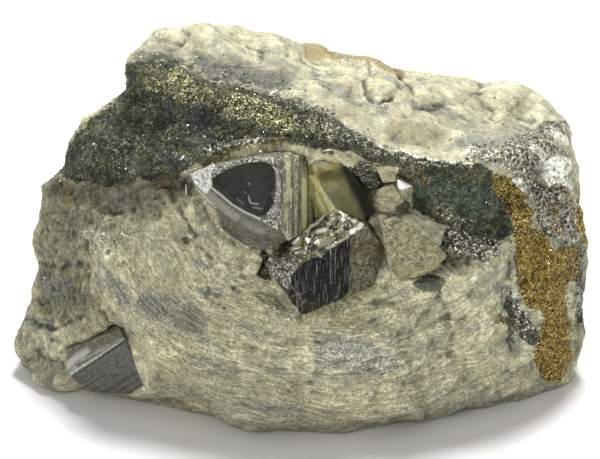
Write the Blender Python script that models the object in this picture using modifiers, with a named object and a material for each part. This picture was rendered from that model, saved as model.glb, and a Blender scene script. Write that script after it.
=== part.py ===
"""Arsenopyrite specimen: steel-grey crystals grown in a broken block of pale vein rock.

Metres, +Z up, the viewer's side is -Y. The origin is the middle of the specimen's footprint, on the
surface that it stands on. Tables of corners are in millimetres of a specimen LENGTH_MM long, and mm()
turns them into metres at the specimen's real length. Forms of the rock's surface are placed in the
front view, which looks at the specimen from FRONT_VIEW.
"""
import math

import bmesh
import bpy
from mathutils import Matrix, Vector, noise

# Driving dimensions
SPECIMEN_LENGTH = 0.080   # left end to right end
LENGTH_MM = 80.0          # the length that the tables below are drawn for
SOCKET_GAP = 0.0003       # room between a crystal and the rock that holds it
VOXEL = 0.0011            # size of the rock's working mesh
ROCK_TRIANGLES = 8600     # what the rock keeps of it
BASE_CUT = 0.0001         # height at which the rock's foot is flattened
FLAT_ANGLE = math.radians(3.0)

# The front view: distances in mm, and places as (across, down) in sheet units of a 600 by 459 sheet
FRONT_VIEW = {
    "height angle": math.radians(25.0),
    "looks at": Vector((-0.5, 0.0, 21.7)),
    "distance": 450.0,
    "sheet middle": (300.0, 229.5),
    "sheet units to a mm": 7.07,
}

# Corners of the broken block, in mm
BLOCK_CORNERS = {
    "crown, from the left shoulder to the back of the top": [
        (-24.9, 3, 46.4), (-20.5, 10, 48), (-15.4, 13, 48.4), (-6, 17, 44.7), (3.8, 19, 41),
        (13.2, 19, 37.2), (24, 18, 36.3), (31.8, 15, 37.4), (35.9, 12, 35.9), (37.6, 9, 34)],
    "brow, where the top turns down to the front": [
        (-23, -2, 43.7), (-13.5, -6, 46.4), (-2, -9, 45.6), (4.6, -13, 42.4), (13, -14, 39.2),
        (20, -14, 37.8), (27.4, -12, 37), (34.2, -1, 38)],
    "left end": [
        (-28.7, 3, 38.7), (-33.9, 3, 33), (-36.3, 3, 27.8), (-38.7, 3, 20.6), (-39, 2, 10.4),
        (-40.2, 2, 4.8), (-39.8, -3, -1), (-37, -8, -1)],
    "right end": [
        (38.2, 8, 32), (39.2, 6, 28.6), (40.4, 2, 21), (40.6, -1, 17), (40.6, -4, 7), (39.4, -5, -1)],
    "front, from the upper left slope to the right edge": [
        (-32.6, -3, 29.6), (-23.8, -10, 31.6), (-15.4, -14, 34.6), (-26.6, -13, 23), (-14, -19.5, 20.5),
        (-0.5, -22.5, 17.4), (-21.3, -17, 8), (15.8, -20.5, 20.9), (25.6, -18, 15), (3.6, -24.6, 7),
        (-10, -22.8, 6.7), (17.4, -21, 5.6), (28, -13, 34), (29, -15, 25.6), (29.6, -15, 13.4),
        (33.4, -10, 2)],
    "foot": [
        (36, -7, -1), (27.7, -12, -1), (19, -17, -1), (4.3, -22, -1), (-7.4, -21, -1), (-16.3, -14, -1),
        (-21.5, -8.5, -1), (34, 10, -1), (20, 18, -1), (0, 20, -1), (-22, 16, -1), (-34, 9, -1)],
    "back": [
        (-29, 17, 27), (-12, 23, 36), (10, 24, 32), (28, 21, 28), (36, 15, 24), (-35, 12, 18),
        (-22, 22, 17), (0, 24.5, 18), (22, 23.5, 14), (37, 12, 11)],
}

# Facets that cover the whole rock: (size of a facet, height of its steps), in mm
CHIPS = [(12.0, 1.2), (6.0, 0.7), (3.2, 0.3)]
CHIP_TILT = 1.6
CHIP_MEAN = 0.25
CHIP_PATTERN = Vector((40.3, 22.1, 29.9))   # where in the pattern of facets the rock lies
TILT_STARTS = [Vector((0.3, 0.7, 0.2)), Vector((31.4, 15.9, 26.5)), Vector((58.2, 71.8, 28.3))]

# Lumps, ridges and hollows of the front. Each follows a path in the front view:
# (path, half width in sheet units, rise in mm, share of the half width that slopes)
FORMS = {
    "bulge under the crystals": ([(180, 300), (250, 330), (330, 345)], 95, 1.0, 1.0),
    "lip over the right hollow": ([(300, 118), (345, 142), (400, 156), (440, 163), (500, 160), (548, 140)],
                                  13, 0.9, 1.0),
    "right hollow": ([(432, 200), (470, 205), (500, 195), (480, 235), (450, 245)], 34, -2.3, 0.4),
    "pocket of the olive crystal": ([(333, 184), (350, 198), (380, 190)], 27, -3.2, 0.35),
    "pocket of the cleavage rhomb": ([(395, 200), (412, 235), (432, 248)], 30, -2.0, 0.4),
    "pocket of the shield crystal": ([(215, 190), (250, 205), (280, 215)], 34, -0.6, 0.5),
    "crevice beside the ribbed crystal": ([(264, 262), (272, 290), (296, 316)], 8, -1.4, 1.0),
    "pit below the cleavage rhomb": ([(430, 284), (438, 288)], 9, -1.8, 0.7),
    "notch of the corner crystal": ([(88, 368), (106, 358), (116, 372)], 20, -2.6, 0.4),
    "foot lobe": ([(30, 332), (34, 368)], 26, 0.6, 0.9),
    "undercut of the corner crystal": ([(84, 406), (112, 410), (144, 416), (170, 422)], 20, -4.6, 1.0),
    "notch over the foot lobe": ([(28, 302), (44, 308)], 12, -1.1, 1.0),
    "crack down the left": ([(88, 236), (90, 285), (104, 315), (125, 335)], 9, -1.4, 1.0),
    "left column": ([(52, 235), (58, 275)], 24, 0.8, 1.0),
    "notch under the left shoulder": ([(112, 86), (140, 92)], 20, -1.6, 1.0),
    "hollow of the left slope": ([(114, 88), (100, 103)], 24, -1.5, 1.0),
    "left shoulder": ([(130, 52), (130, 62)], 17, 1.6, 1.0),
    "sagging rim of the crown": ([(336, 48), (352, 52)], 20, -1.1, 1.0),
    "hollow of the dark slope": ([(120, 120), (165, 125), (215, 135)], 34, -1.2, 1.0),
    "step under the dark slope": ([(62, 168), (120, 182), (182, 182)], 10, -1.0, 1.0),
    "speckled ledge": ([(92, 236), (132, 230)], 17, 1.2, 0.7),
    "ledge beside the shield crystal": ([(170, 205), (205, 225), (235, 246)], 14, 0.9, 1.0),
    "upper fold of the bulge": ([(130, 262), (175, 318), (245, 346), (320, 338), (372, 302)], 8, -0.6, 1.0),
    "lower fold of the bulge": ([(112, 305), (160, 368), (240, 394), (325, 390), (385, 352)], 8, -0.6, 1.0),
    "seam of the bulge": ([(318, 318), (312, 350), (318, 395)], 7, -0.7, 1.0),
    "ridge right of the bulge": ([(392, 312), (386, 360), (392, 402)], 14, 0.9, 1.0),
    "sugary ledge": ([(452, 300), (480, 318), (476, 350)], 22, 0.9, 0.8),
    "groove of the right face": ([(512, 178), (516, 235), (506, 290), (516, 345)], 8, -0.9, 1.0),
    "rusty face": ([(545, 262), (552, 330)], 30, 0.9, 0.8),
    "undercut foot": ([(190, 422), (250, 436), (330, 440), (400, 426), (470, 416)], 12, -1.0, 1.0),
    "left nodule of the crown": ([(150, 46), (168, 38)], 17, 1.0, 1.0),
    "second nodule of the crown": ([(198, 30), (222, 36)], 18, 0.8, 1.0),
    "third nodule of the crown": ([(262, 42), (285, 46)], 15, 0.8, 1.0),
    "rusty rim of the crown": ([(322, 54), (352, 60), (380, 66)], 12, 0.5, 1.0),
    "hollow of the crown": ([(300, 80), (330, 84), (352, 96)], 22, -1.1, 1.0),
    "nodule before the hollow": ([(388, 92), (374, 108)], 12, 1.0, 1.0),
    "knob of the crown": ([(424, 96), (448, 102)], 18, 0.8, 1.0),
    "right knob of the crown": ([(488, 92), (512, 96)], 16, 1.0, 1.0),
    "sandy hollow": ([(405, 128), (440, 134)], 20, -0.9, 1.0),
    "white nodules": ([(546, 158), (552, 178)], 13, 1.0, 0.8),
}

# Corners of the crystals, in mm. Each crystal is the solid that its corners span.
SHIELD_CRYSTAL = [
    (-15.4, -14, 36.4), (-12.1, -14.8, 38.1), (-6.4, -15.9, 39.9), (-4.1, -16.6, 40),
    (0.3, -12.4, 38.8), (1.3, -11.4, 36.9), (1.3, -14.5, 29), (-12.4, -16.3, 36.5),
    (-9.4, -15.9, 38.4), (-4.3, -17, 39.2), (-3.6, -18.2, 37.8), (-5.9, -20.6, 33.2),
    (-13.4, -15.4, 34.4), (-11.2, -16.6, 28), (-8.2, -18.6, 27.5), (-4.9, -19.6, 27.8),
    (-1.7, -19.6, 29.3), (-2.7, -19.6, 31.4), (-2.7, -17.3, 37.1), (-13, -9, 36),
    (-10, -9, 28), (0, -7, 29), (0, -7, 38)]
OLIVE_CRYSTAL = [
    (2.2, -13.7, 36.8), (6.3, -13.2, 37.4), (9.8, -15.8, 31.8), (7.6, -16.6, 30.5),
    (4.1, -17, 30.1), (2.2, -14.5, 35.3), (0.6, -12.6, 38.4), (0.5, -12.4, 33.3),
    (0.8, -12, 28), (2, -7, 38), (6.5, -7, 37), (9, -8, 30), (2, -8, 28)]
RIBBED_CRYSTAL = [
    (-1.6, -18.6, 28.5), (4.4, -16.6, 32.5), (7.6, -20.6, 32.1), (6.2, -22, 30.7),
    (-0.1, -21.8, 27.9), (5.8, -23.2, 23.1), (-0.2, -23.1, 19.7), (-1.7, -22.5, 22.6),
    (-1.7, -22, 25.6), (-4.8, -19, 26.4), (-4.6, -19.8, 24.6), (10.9, -18.6, 27.3),
    (9.5, -20.2, 22.8), (-3, -12, 25), (0, -13, 20), (8, -12, 22), (9, -12, 29), (3, -11, 30)]
CORNER_CRYSTAL = [
    (-33.1, -12.8, 5.4), (-24.7, -15.1, 12.1), (-22.3, -15.6, 5.1), (-24.5, -14.9, 3.2),
    (-30.2, -13.5, 3), (-33.4, -10, 7.8), (-25.6, -13.3, 12.6), (-32.9, -4.6, 7.1),
    (-30.9, -5.4, 4.4), (-24, -8.4, 4.6), (-26, -6.8, 11.8)]
CLEAVAGE_RHOMB = [
    (10.4, -17.9, 30.9), (11.5, -17.4, 31.5), (15.1, -17.2, 30.8), (16.3, -17.9, 29.4),
    (18.2, -18.6, 27.8), (19.3, -19.2, 26.6), (18, -20.2, 25.5), (14.9, -21.4, 24.5),
    (12.6, -21.6, 24.7), (11.5, -21.1, 25.8), (11.6, -19.5, 28.5), (12.1, -13.3, 29.9),
    (17, -13.9, 26), (13.2, -14.3, 24.4)]
RHOMB_WING = [
    (11.4, -17.2, 31.5), (14.8, -16.3, 31.5), (19.2, -16.1, 29.8), (19.3, -16.6, 29.5),
    (18.4, -18.3, 27.9), (16.3, -17.9, 29.3), (15.2, -17.1, 30.8), (13.4, -12.7, 30),
    (17.8, -12.8, 28.2), (15.7, -13, 27.4)]
BRIGHT_CRYSTAL = [
    (12.7, -15.2, 36.2), (14.8, -14.8, 35.0), (13.4, -16.6, 35.3), (12.7, -16.4, 35.4),
    (12.6, -12, 36.6), (14.6, -12, 35.2), (13.0, -12, 34.2)]

# Growth ribs of the crystals: (face corners in order round the face, in mm, ribs, height, share of
# the pitch that a rib fills). Ribs run from the face's first edge to its third.
RIBS = {
    "front of the ribbed crystal": ([(0.6, -22.05, 27.6), (5.6, -22.2, 30.1), (5.4, -23.2, 24.0),
                                     (0.4, -23.05, 21.0)], 6, 0.35, 0.5),
    "right side of the shield crystal": ([(-2.2, -16.9, 37.0), (0.6, -13.0, 37.6), (0.9, -14.7, 30.2),
                                          (-1.8, -19.0, 30.4)], 4, 0.35, 0.5),
}
RIB_ROOT = 0.8   # how deep a rib's root lies in its crystal, in mm

# Ledges on the crystals, each the solid that its corners span, in mm
LEDGES = {
    "back step of the ribbed crystal": [
        (-0.6, -18.0, 29.6), (4.0, -16.9, 33.0), (5.6, -18.6, 33.0), (0.6, -19.8, 29.8),
        (0.0, -17.0, 27.0), (4.6, -15.6, 30.5), (6.0, -17.5, 30.5), (1.0, -19.0, 27.0)],
    "front step of the ribbed crystal": [
        (2.6, -19.6, 31.0), (5.2, -18.6, 32.7), (6.6, -20.2, 32.5), (4.2, -21.0, 30.8),
        (3.0, -18.6, 28.5), (5.6, -17.6, 30.0), (6.6, -19.0, 30.0), (4.2, -20.2, 28.0)],
}

# What each sub-part looks like: (base colour, roughness, metallic)
FINISHES = {
    "matrix_rock": ((0.42, 0.39, 0.32), 0.85, 0.0),
    "arsenopyrite_crystals": ((0.30, 0.30, 0.28), 0.25, 0.9),
    "corner_crystal": ((0.28, 0.28, 0.27), 0.35, 0.8),
    "cleavage_rhomb": ((0.45, 0.38, 0.26), 0.45, 0.0),
    "bright_crystal": ((0.80, 0.80, 0.76), 0.20, 0.3),
}


def mm(x, y, z):
    """A place in the tables, in metres at the specimen's real length."""
    return Vector((x, y, z)) * (SPECIMEN_LENGTH / LENGTH_MM)


def view_axes():
    """The front view's right, up and towards-the-viewer directions."""
    angle = FRONT_VIEW["height angle"]
    up = Vector((0.0, math.sin(angle), math.cos(angle)))
    near = Vector((0.0, -math.cos(angle), math.sin(angle)))
    return Vector((1.0, 0.0, 0.0)), up, near


def seen(place):
    """Where a place in mm lies on the front view's sheet."""
    right, up, near = view_axes()
    offset = place - FRONT_VIEW["looks at"]
    scale = FRONT_VIEW["sheet units to a mm"] / (1.0 - offset.dot(near) / FRONT_VIEW["distance"])
    middle = FRONT_VIEW["sheet middle"]
    return Vector((middle[0] + offset.dot(right) * scale, middle[1] - offset.dot(up) * scale))


def clear_scene():
    for obj in list(bpy.data.objects):
        bpy.data.objects.remove(obj, do_unlink=True)


def new_collection(name):
    collection = bpy.data.collections.new(name)
    bpy.context.scene.collection.children.link(collection)
    return collection


def hull_mesh(name, corners, gap=0.0):
    """The solid that the corners span, its faces moved out by gap."""
    bm = bmesh.new()
    for corner in corners:
        bm.verts.new(mm(*corner))
    made = bmesh.ops.convex_hull(bm, input=bm.verts)
    bmesh.ops.delete(bm, geom=made["geom_interior"], context="VERTS")
    bmesh.ops.dissolve_limit(bm, angle_limit=FLAT_ANGLE, verts=bm.verts, edges=bm.edges)
    bmesh.ops.recalc_face_normals(bm, faces=bm.faces)
    if gap:
        bm.normal_update()
        moves = [(vert, vert.normal * vert.calc_shell_factor() * gap) for vert in bm.verts]
        for vert, move in moves:
            vert.co += move
    mesh = bpy.data.meshes.new(name)
    bm.to_mesh(mesh)
    bm.free()
    return mesh


def add_object(name, mesh, collection):
    obj = bpy.data.objects.new(name, mesh)
    collection.objects.link(obj)
    return obj


def apply_modifiers(obj):
    bpy.context.view_layer.update()
    graph = bpy.context.evaluated_depsgraph_get()
    mesh = bpy.data.meshes.new_from_object(obj.evaluated_get(graph))
    obj.modifiers.clear()
    obj.data = mesh


def combine(obj, operation, solver, mesh, cutters):
    """Joins a solid to the object, or cuts it out."""
    other = add_object("cutter", mesh, cutters)
    other.hide_render = True
    other.display_type = "WIRE"
    boolean = obj.modifiers.new("combine", "BOOLEAN")
    boolean.operation = operation
    boolean.solver = solver
    boolean.object = other
    apply_modifiers(obj)


def rib_corners(face, index, count, height, fill):
    """The eight corners of one growth rib that stands on a four-cornered face."""
    top_left, top_right, low_right, low_left = [Vector(corner) for corner in face]
    outward = (low_left - top_left).cross(top_right - top_left).normalized()
    start = (index + 0.5 - fill / 2) / count
    end = (index + 0.5 + fill / 2) / count
    rim = [top_left.lerp(top_right, start), top_left.lerp(top_right, end),
           low_left.lerp(low_right, end), low_left.lerp(low_right, start)]
    return [corner + outward * height for corner in rim] + [corner - outward * RIB_ROOT for corner in rim]


def intergrown_solids():
    """Corners of the three crystals that grew into each other, and of their ledges and growth ribs."""
    solids = [SHIELD_CRYSTAL, OLIVE_CRYSTAL, RIBBED_CRYSTAL, *LEDGES.values()]
    for face, count, height, fill in RIBS.values():
        solids += [rib_corners(face, index, count, height, fill) for index in range(count)]
    return solids


def facets(place, size, height):
    """Height of a surface of flat facets that tilt at random, each about size across."""
    spot = place / size + CHIP_PATTERN
    distances, centres = noise.voronoi(spot)
    tops = []
    for distance, centre in zip(distances, centres):
        tilt = Vector([noise.noise(centre * 7.3 + start) for start in TILT_STARTS])
        plane = noise.noise(centre * 5.1) + tilt.dot(spot - centre) * CHIP_TILT
        tops.append(plane - 2.5 * (distance - distances[0]))
    return height * (max(tops) - CHIP_MEAN)


def distance_to_path(spot, path):
    """How far a spot on the sheet is from a path's nearest stretch."""
    if len(path) == 1:
        return (spot - path[0]).length
    nearest = math.inf
    for start, end in zip(path, path[1:]):
        along = end - start
        share = min(1.0, max(0.0, (spot - start).dot(along) / along.length_squared))
        nearest = min(nearest, (spot - start - along * share).length)
    return nearest


def form_rise(spot, path, half_width, rise, slope):
    """Rise in mm of one lump or hollow at a spot on the sheet."""
    inside = (1.0 - distance_to_path(spot, path) / half_width) / slope
    share = min(1.0, max(0.0, inside))
    return rise * share * share * (3.0 - 2.0 * share)


def smooth(bm, rounds):
    for _ in range(rounds):
        bmesh.ops.smooth_vert(bm, verts=bm.verts, factor=0.5, use_axis_x=True, use_axis_y=True,
                              use_axis_z=True)


def carve_rock(obj):
    """Gives the block its facets, lumps and hollows."""
    scale = SPECIMEN_LENGTH / LENGTH_MM
    forms = [([Vector(point) for point in path], half_width, rise, slope)
             for path, half_width, rise, slope in FORMS.values()]
    near = view_axes()[2]
    bm = bmesh.new()
    bm.from_mesh(obj.data)
    smooth(bm, 6)
    bm.normal_update()
    moves = []
    for vert in bm.verts:
        place = vert.co / scale
        rise = sum(facets(place, size, height) for size, height in CHIPS)
        facing = min(1.0, max(0.0, vert.normal.dot(near) * 3.0 + 1.0))
        if facing:
            spot = seen(place)
            rise += facing * sum(form_rise(spot, *form) for form in forms)
        moves.append((vert, vert.normal * rise * scale))
    for vert, move in moves:
        vert.co += move
    smooth(bm, 1)
    bm.to_mesh(obj.data)
    bm.free()


def thin_out(obj, triangles):
    """Leaves about this many triangles, the flat stretches with the fewest."""
    bm = bmesh.new()
    bm.from_mesh(obj.data)
    bmesh.ops.triangulate(bm, faces=bm.faces)
    bm.to_mesh(obj.data)
    bm.free()
    decimate = obj.modifiers.new("thin out", "DECIMATE")
    decimate.ratio = triangles / len(obj.data.polygons)
    apply_modifiers(obj)


def flatten_foot(obj, height):
    """Cuts the rock off flat at a height, and closes the cut with one face."""
    bm = bmesh.new()
    bm.from_mesh(obj.data)
    geom = list(bm.verts) + list(bm.edges) + list(bm.faces)
    cut = bmesh.ops.bisect_plane(bm, geom=geom, plane_co=(0, 0, height), plane_no=(0, 0, 1),
                                 clear_inner=True)
    rim = [item for item in cut["geom_cut"] if isinstance(item, bmesh.types.BMEdge)]
    bmesh.ops.contextual_create(bm, geom=rim)
    bmesh.ops.recalc_face_normals(bm, faces=bm.faces)
    bm.to_mesh(obj.data)
    bm.free()


def drop_splinters(obj):
    """Removes the splinters that the crystals' sockets cut loose from the rock."""
    bm = bmesh.new()
    bm.from_mesh(obj.data)
    left = set(bm.verts)
    bodies = []
    while left:
        body = {left.pop()}
        edge_of_body = set(body)
        while edge_of_body:
            reached = {edge.other_vert(vert) for vert in edge_of_body for edge in vert.link_edges}
            edge_of_body = reached - body
            body |= edge_of_body
        left -= body
        bodies.append(body)
    bodies.sort(key=len)
    splinters = [vert for body in bodies[:-1] for vert in body]
    bmesh.ops.delete(bm, geom=splinters, context="VERTS")
    bm.to_mesh(obj.data)
    bm.free()


def make_rock(collection, cutters):
    corners = [corner for group in BLOCK_CORNERS.values() for corner in group]
    rock = add_object("matrix_rock", hull_mesh("matrix_rock", corners), collection)
    remesh = rock.modifiers.new("even mesh", "REMESH")
    remesh.mode = "VOXEL"
    remesh.voxel_size = VOXEL
    apply_modifiers(rock)
    carve_rock(rock)
    thin_out(rock, ROCK_TRIANGLES)
    flatten_foot(rock, BASE_CUT)
    for corners in [*intergrown_solids(), CORNER_CRYSTAL, CLEAVAGE_RHOMB, RHOMB_WING, BRIGHT_CRYSTAL]:
        # the EXACT solver loses the rock at the corner crystal's socket
        combine(rock, "DIFFERENCE", "MANIFOLD", hull_mesh("socket", corners, SOCKET_GAP), cutters)
    drop_splinters(rock)
    return rock


def make_intergrown(name, solids, collection, cutters):
    """One solid out of the solids that several lists of corners span."""
    first, *others = solids
    crystals = add_object(name, hull_mesh(name, first), collection)
    for corners in others:
        combine(crystals, "UNION", "EXACT", hull_mesh("grown in", corners), cutters)
    return crystals


def stand_on_origin(objects):
    """Moves everything so that the origin is under the middle of the specimen."""
    places = [vert.co for obj in objects for vert in obj.data.vertices]
    low = Vector([min(place[axis] for place in places) for axis in range(3)])
    high = Vector([max(place[axis] for place in places) for axis in range(3)])
    shift = Vector((-(low.x + high.x) / 2, -(low.y + high.y) / 2, -low.z))
    for obj in objects:
        obj.data.transform(Matrix.Translation(shift))


def finish(obj):
    """Gives the object a material of its own."""
    colour, roughness, metallic = FINISHES[obj.name]
    material = bpy.data.materials.new(obj.name)
    material.use_nodes = True
    surface = material.node_tree.nodes["Principled BSDF"]
    surface.inputs["Base Color"].default_value = (*colour, 1.0)
    surface.inputs["Roughness"].default_value = roughness
    surface.inputs["Metallic"].default_value = metallic
    obj.data.materials.clear()
    obj.data.materials.append(material)


def main():
    clear_scene()
    collection = new_collection("arsenopyrite_specimen")
    cutters = new_collection("cutters")
    parts = [
        make_rock(collection, cutters),
        make_intergrown("arsenopyrite_crystals", intergrown_solids(), collection, cutters),
        add_object("corner_crystal", hull_mesh("corner_crystal", CORNER_CRYSTAL), collection),
        make_intergrown("cleavage_rhomb", [CLEAVAGE_RHOMB, RHOMB_WING], collection, cutters),
        add_object("bright_crystal", hull_mesh("bright_crystal", BRIGHT_CRYSTAL), collection),
    ]
    stand_on_origin(parts)
    for part in parts:
        finish(part)


main()
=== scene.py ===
import math

import bmesh
import bpy
import numpy as np
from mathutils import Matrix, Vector
from mathutils.bvhtree import BVHTree


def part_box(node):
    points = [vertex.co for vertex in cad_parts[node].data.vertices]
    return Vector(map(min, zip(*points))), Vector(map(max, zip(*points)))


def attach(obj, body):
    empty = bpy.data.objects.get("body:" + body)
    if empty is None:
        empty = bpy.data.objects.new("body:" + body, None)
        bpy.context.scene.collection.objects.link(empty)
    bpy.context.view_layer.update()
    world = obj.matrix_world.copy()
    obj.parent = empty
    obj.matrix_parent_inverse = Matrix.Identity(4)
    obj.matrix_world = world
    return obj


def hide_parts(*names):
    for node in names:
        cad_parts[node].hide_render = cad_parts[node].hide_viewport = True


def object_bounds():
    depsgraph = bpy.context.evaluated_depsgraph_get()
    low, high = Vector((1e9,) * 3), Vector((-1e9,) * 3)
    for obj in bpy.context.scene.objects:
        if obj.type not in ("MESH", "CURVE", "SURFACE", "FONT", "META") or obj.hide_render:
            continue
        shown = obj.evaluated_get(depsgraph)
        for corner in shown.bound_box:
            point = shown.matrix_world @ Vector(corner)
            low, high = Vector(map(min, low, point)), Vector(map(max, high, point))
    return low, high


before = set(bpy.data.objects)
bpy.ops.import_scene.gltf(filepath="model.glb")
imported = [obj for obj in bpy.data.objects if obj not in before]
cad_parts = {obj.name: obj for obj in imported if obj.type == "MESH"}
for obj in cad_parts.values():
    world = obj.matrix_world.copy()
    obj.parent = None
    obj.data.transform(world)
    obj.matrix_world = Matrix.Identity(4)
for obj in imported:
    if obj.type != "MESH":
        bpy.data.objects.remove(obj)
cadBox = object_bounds()
print("frame loaded")

# The front view that the specimen's features are placed in: across and down on a 600 by 459 sheet
front = {
    "lift": math.radians(25),
    "distance": 0.45,
    "sheetWidth": 600,
    "sheetMiddle": (300, 229.5),
    "unitsPerMetre": 7070,
    "target": Vector((-0.0005, 0, 0.0217)),
    "chipCorner": Vector((0.0126, -0.012, 0.0342)),   # where the bright crystal's low corner was drawn
}
toRight = Vector((1, 0, 0))
toTop = Vector((0, math.sin(front["lift"]), math.cos(front["lift"])))
toEye = Vector((0, -math.cos(front["lift"]), math.sin(front["lift"])))

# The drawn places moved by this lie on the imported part
chipLow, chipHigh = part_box("bright_crystal")
drawnShift = Vector((chipLow.x, chipHigh.y, chipLow.z)) - front["chipCorner"]
target = front["target"] + drawnShift
eye = target + toEye * front["distance"]


def toSheet(places):
    # where places in metres lie on the front view's sheet
    offset = places - np.array(target)
    scale = front["unitsPerMetre"] / (1 - offset @ np.array(toEye) / front["distance"])
    across = front["sheetMiddle"][0] + offset @ np.array(toRight) * scale
    down = front["sheetMiddle"][1] - offset @ np.array(toTop) * scale
    return np.stack([across, down], axis=1)


def sheetRay(spot):
    # the direction from the eye through a spot of the sheet
    across = (spot[0] - front["sheetMiddle"][0]) / front["unitsPerMetre"]
    down = (spot[1] - front["sheetMiddle"][1]) / front["unitsPerMetre"]
    return (toRight * across - toTop * down - toEye * front["distance"]).normalized()


def pathDistance(spots, path):
    # distance from each spot to the nearest stretch of a path
    path = np.array(path, float)
    nearest = np.full(len(spots), np.inf)
    for start, end in zip(path[:-1], path[1:]):
        along = end - start
        share = np.clip((spots - start) @ along / (along @ along), 0, 1)
        nearest = np.minimum(nearest, np.linalg.norm(spots - start - share[:, None] * along, axis=1))
    return nearest


def outlineDepth(spots, outline):
    # how deep inside an outline each spot is, less than nothing outside
    points = np.array(outline, float)
    inside = np.zeros(len(spots), bool)
    for start, end in zip(points, np.roll(points, -1, axis=0)):
        crosses = (start[1] > spots[:, 1]) != (end[1] > spots[:, 1])
        rise = end[1] - start[1] if end[1] != start[1] else 1
        meets = start[0] + (spots[:, 1] - start[1]) / rise * (end[0] - start[0])
        inside ^= crosses & (spots[:, 0] < meets)
    edge = pathDistance(spots, np.vstack([points, points[:1]]))
    return np.where(inside, edge, -edge)


def ease(values, low, high):
    share = np.clip((values - low) / (high - low), 0, 1)
    return share * share * (3 - 2 * share)


def scatter(cells, seed):
    # three random numbers for each cell of a grid
    cells = cells.astype(np.int64)
    mixed = cells[:, 0] * 73856093 ^ cells[:, 1] * 19349663 ^ cells[:, 2] * 83492791 ^ (seed * 2971215073)
    numbers = []
    for turn in range(3):
        mixed = (mixed ^ (mixed >> 13)) * 1274126177 + 12345 * (turn + 1) & 0xFFFFFFFF
        mixed = mixed ^ (mixed >> 16)
        numbers.append((mixed & 0xFFFFFF) / 0x1000000)
    return np.stack(numbers, axis=1)


def softNoise(places, size, seed=0):
    # smooth noise from -1 to 1
    spots = places / size
    cells = np.floor(spots)
    share = spots - cells
    share = share * share * (3 - 2 * share)
    total = np.zeros(len(places))
    for corner in np.ndindex(2, 2, 2):
        corner = np.array(corner)
        weight = np.prod(np.where(corner == 1, share, 1 - share), axis=1)
        total += weight * (scatter(cells + corner, seed)[:, 0] * 2 - 1)
    return total


def roughNoise(places, size, octaves, seed=0, fade=0.55):
    total = np.zeros(len(places))
    strength = 1
    for octave in range(octaves):
        total += softNoise(places, size / 2 ** octave, seed + octave) * strength
        strength *= fade
    return total


def nearCells(spots, seed):
    # the 27 cells round each spot, and the way to the spot from a random place in each
    cells = np.floor(spots)
    for step in np.ndindex(3, 3, 3):
        cell = cells + np.array(step) - 1
        yield cell, spots - cell - scatter(cell, seed)


def brokenFacets(places, size, seed=0, tilt=1.4, sharpness=2.5):
    # a surface of flat facets that tilt at random, about -1 to 1
    ways = []
    tops = []
    for cell, offset in nearCells(places / size, seed):
        lean = scatter(cell, seed + 50) * 2 - 1
        ways.append(np.linalg.norm(offset, axis=1))
        tops.append(lean[:, 0] * 0.6 + np.sum(offset * lean, axis=1) * tilt)
    ways = np.array(ways)
    best = np.array(tops) - sharpness * (ways - ways.min(axis=0))
    return best.max(axis=0)


def mineralGrains(places, size, seed=0):
    # rounded grains: 1 in the middle of a grain, 0 between grains
    nearest = np.full(len(places), 9.0)
    second = nearest
    for _, offset in nearCells(places / size, seed):
        away = np.linalg.norm(offset, axis=1)
        second = np.minimum(second, np.maximum(nearest, away))
        nearest = np.minimum(nearest, away)
    return ease(second - nearest, 0, 0.35)


def lumps(places, size, seed=0):
    # rounded lumps pressed against each other, 1 on their tops and less than 0 in the creases
    spots = places / size
    spots = spots + np.stack([roughNoise(spots, 1.3, 2, seed + 20 + axis) for axis in range(3)], axis=1) * 0.3
    nearest = np.full(len(places), 9.0)
    for _, offset in nearCells(spots, seed):
        nearest = np.minimum(nearest, np.linalg.norm(offset, axis=1))
    return 1 - 1.5 * nearest ** 2


class Wire:
    # the value of a node's socket: calculating with it adds Math nodes

    def __init__(self, finish, socket):
        self.finish = finish
        self.socket = socket

    def calculate(self, operation, first, second):
        return self.finish.node("Math", {"operation": operation}, {0: first, 1: second})

    def __add__(self, other):
        return self.calculate("ADD", self, other)

    def __radd__(self, other):
        return self.calculate("ADD", other, self)

    def __sub__(self, other):
        return self.calculate("SUBTRACT", self, other)

    def __rsub__(self, other):
        return self.calculate("SUBTRACT", other, self)

    def __mul__(self, other):
        return self.calculate("MULTIPLY", self, other)

    def __rmul__(self, other):
        return self.calculate("MULTIPLY", other, self)


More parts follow.
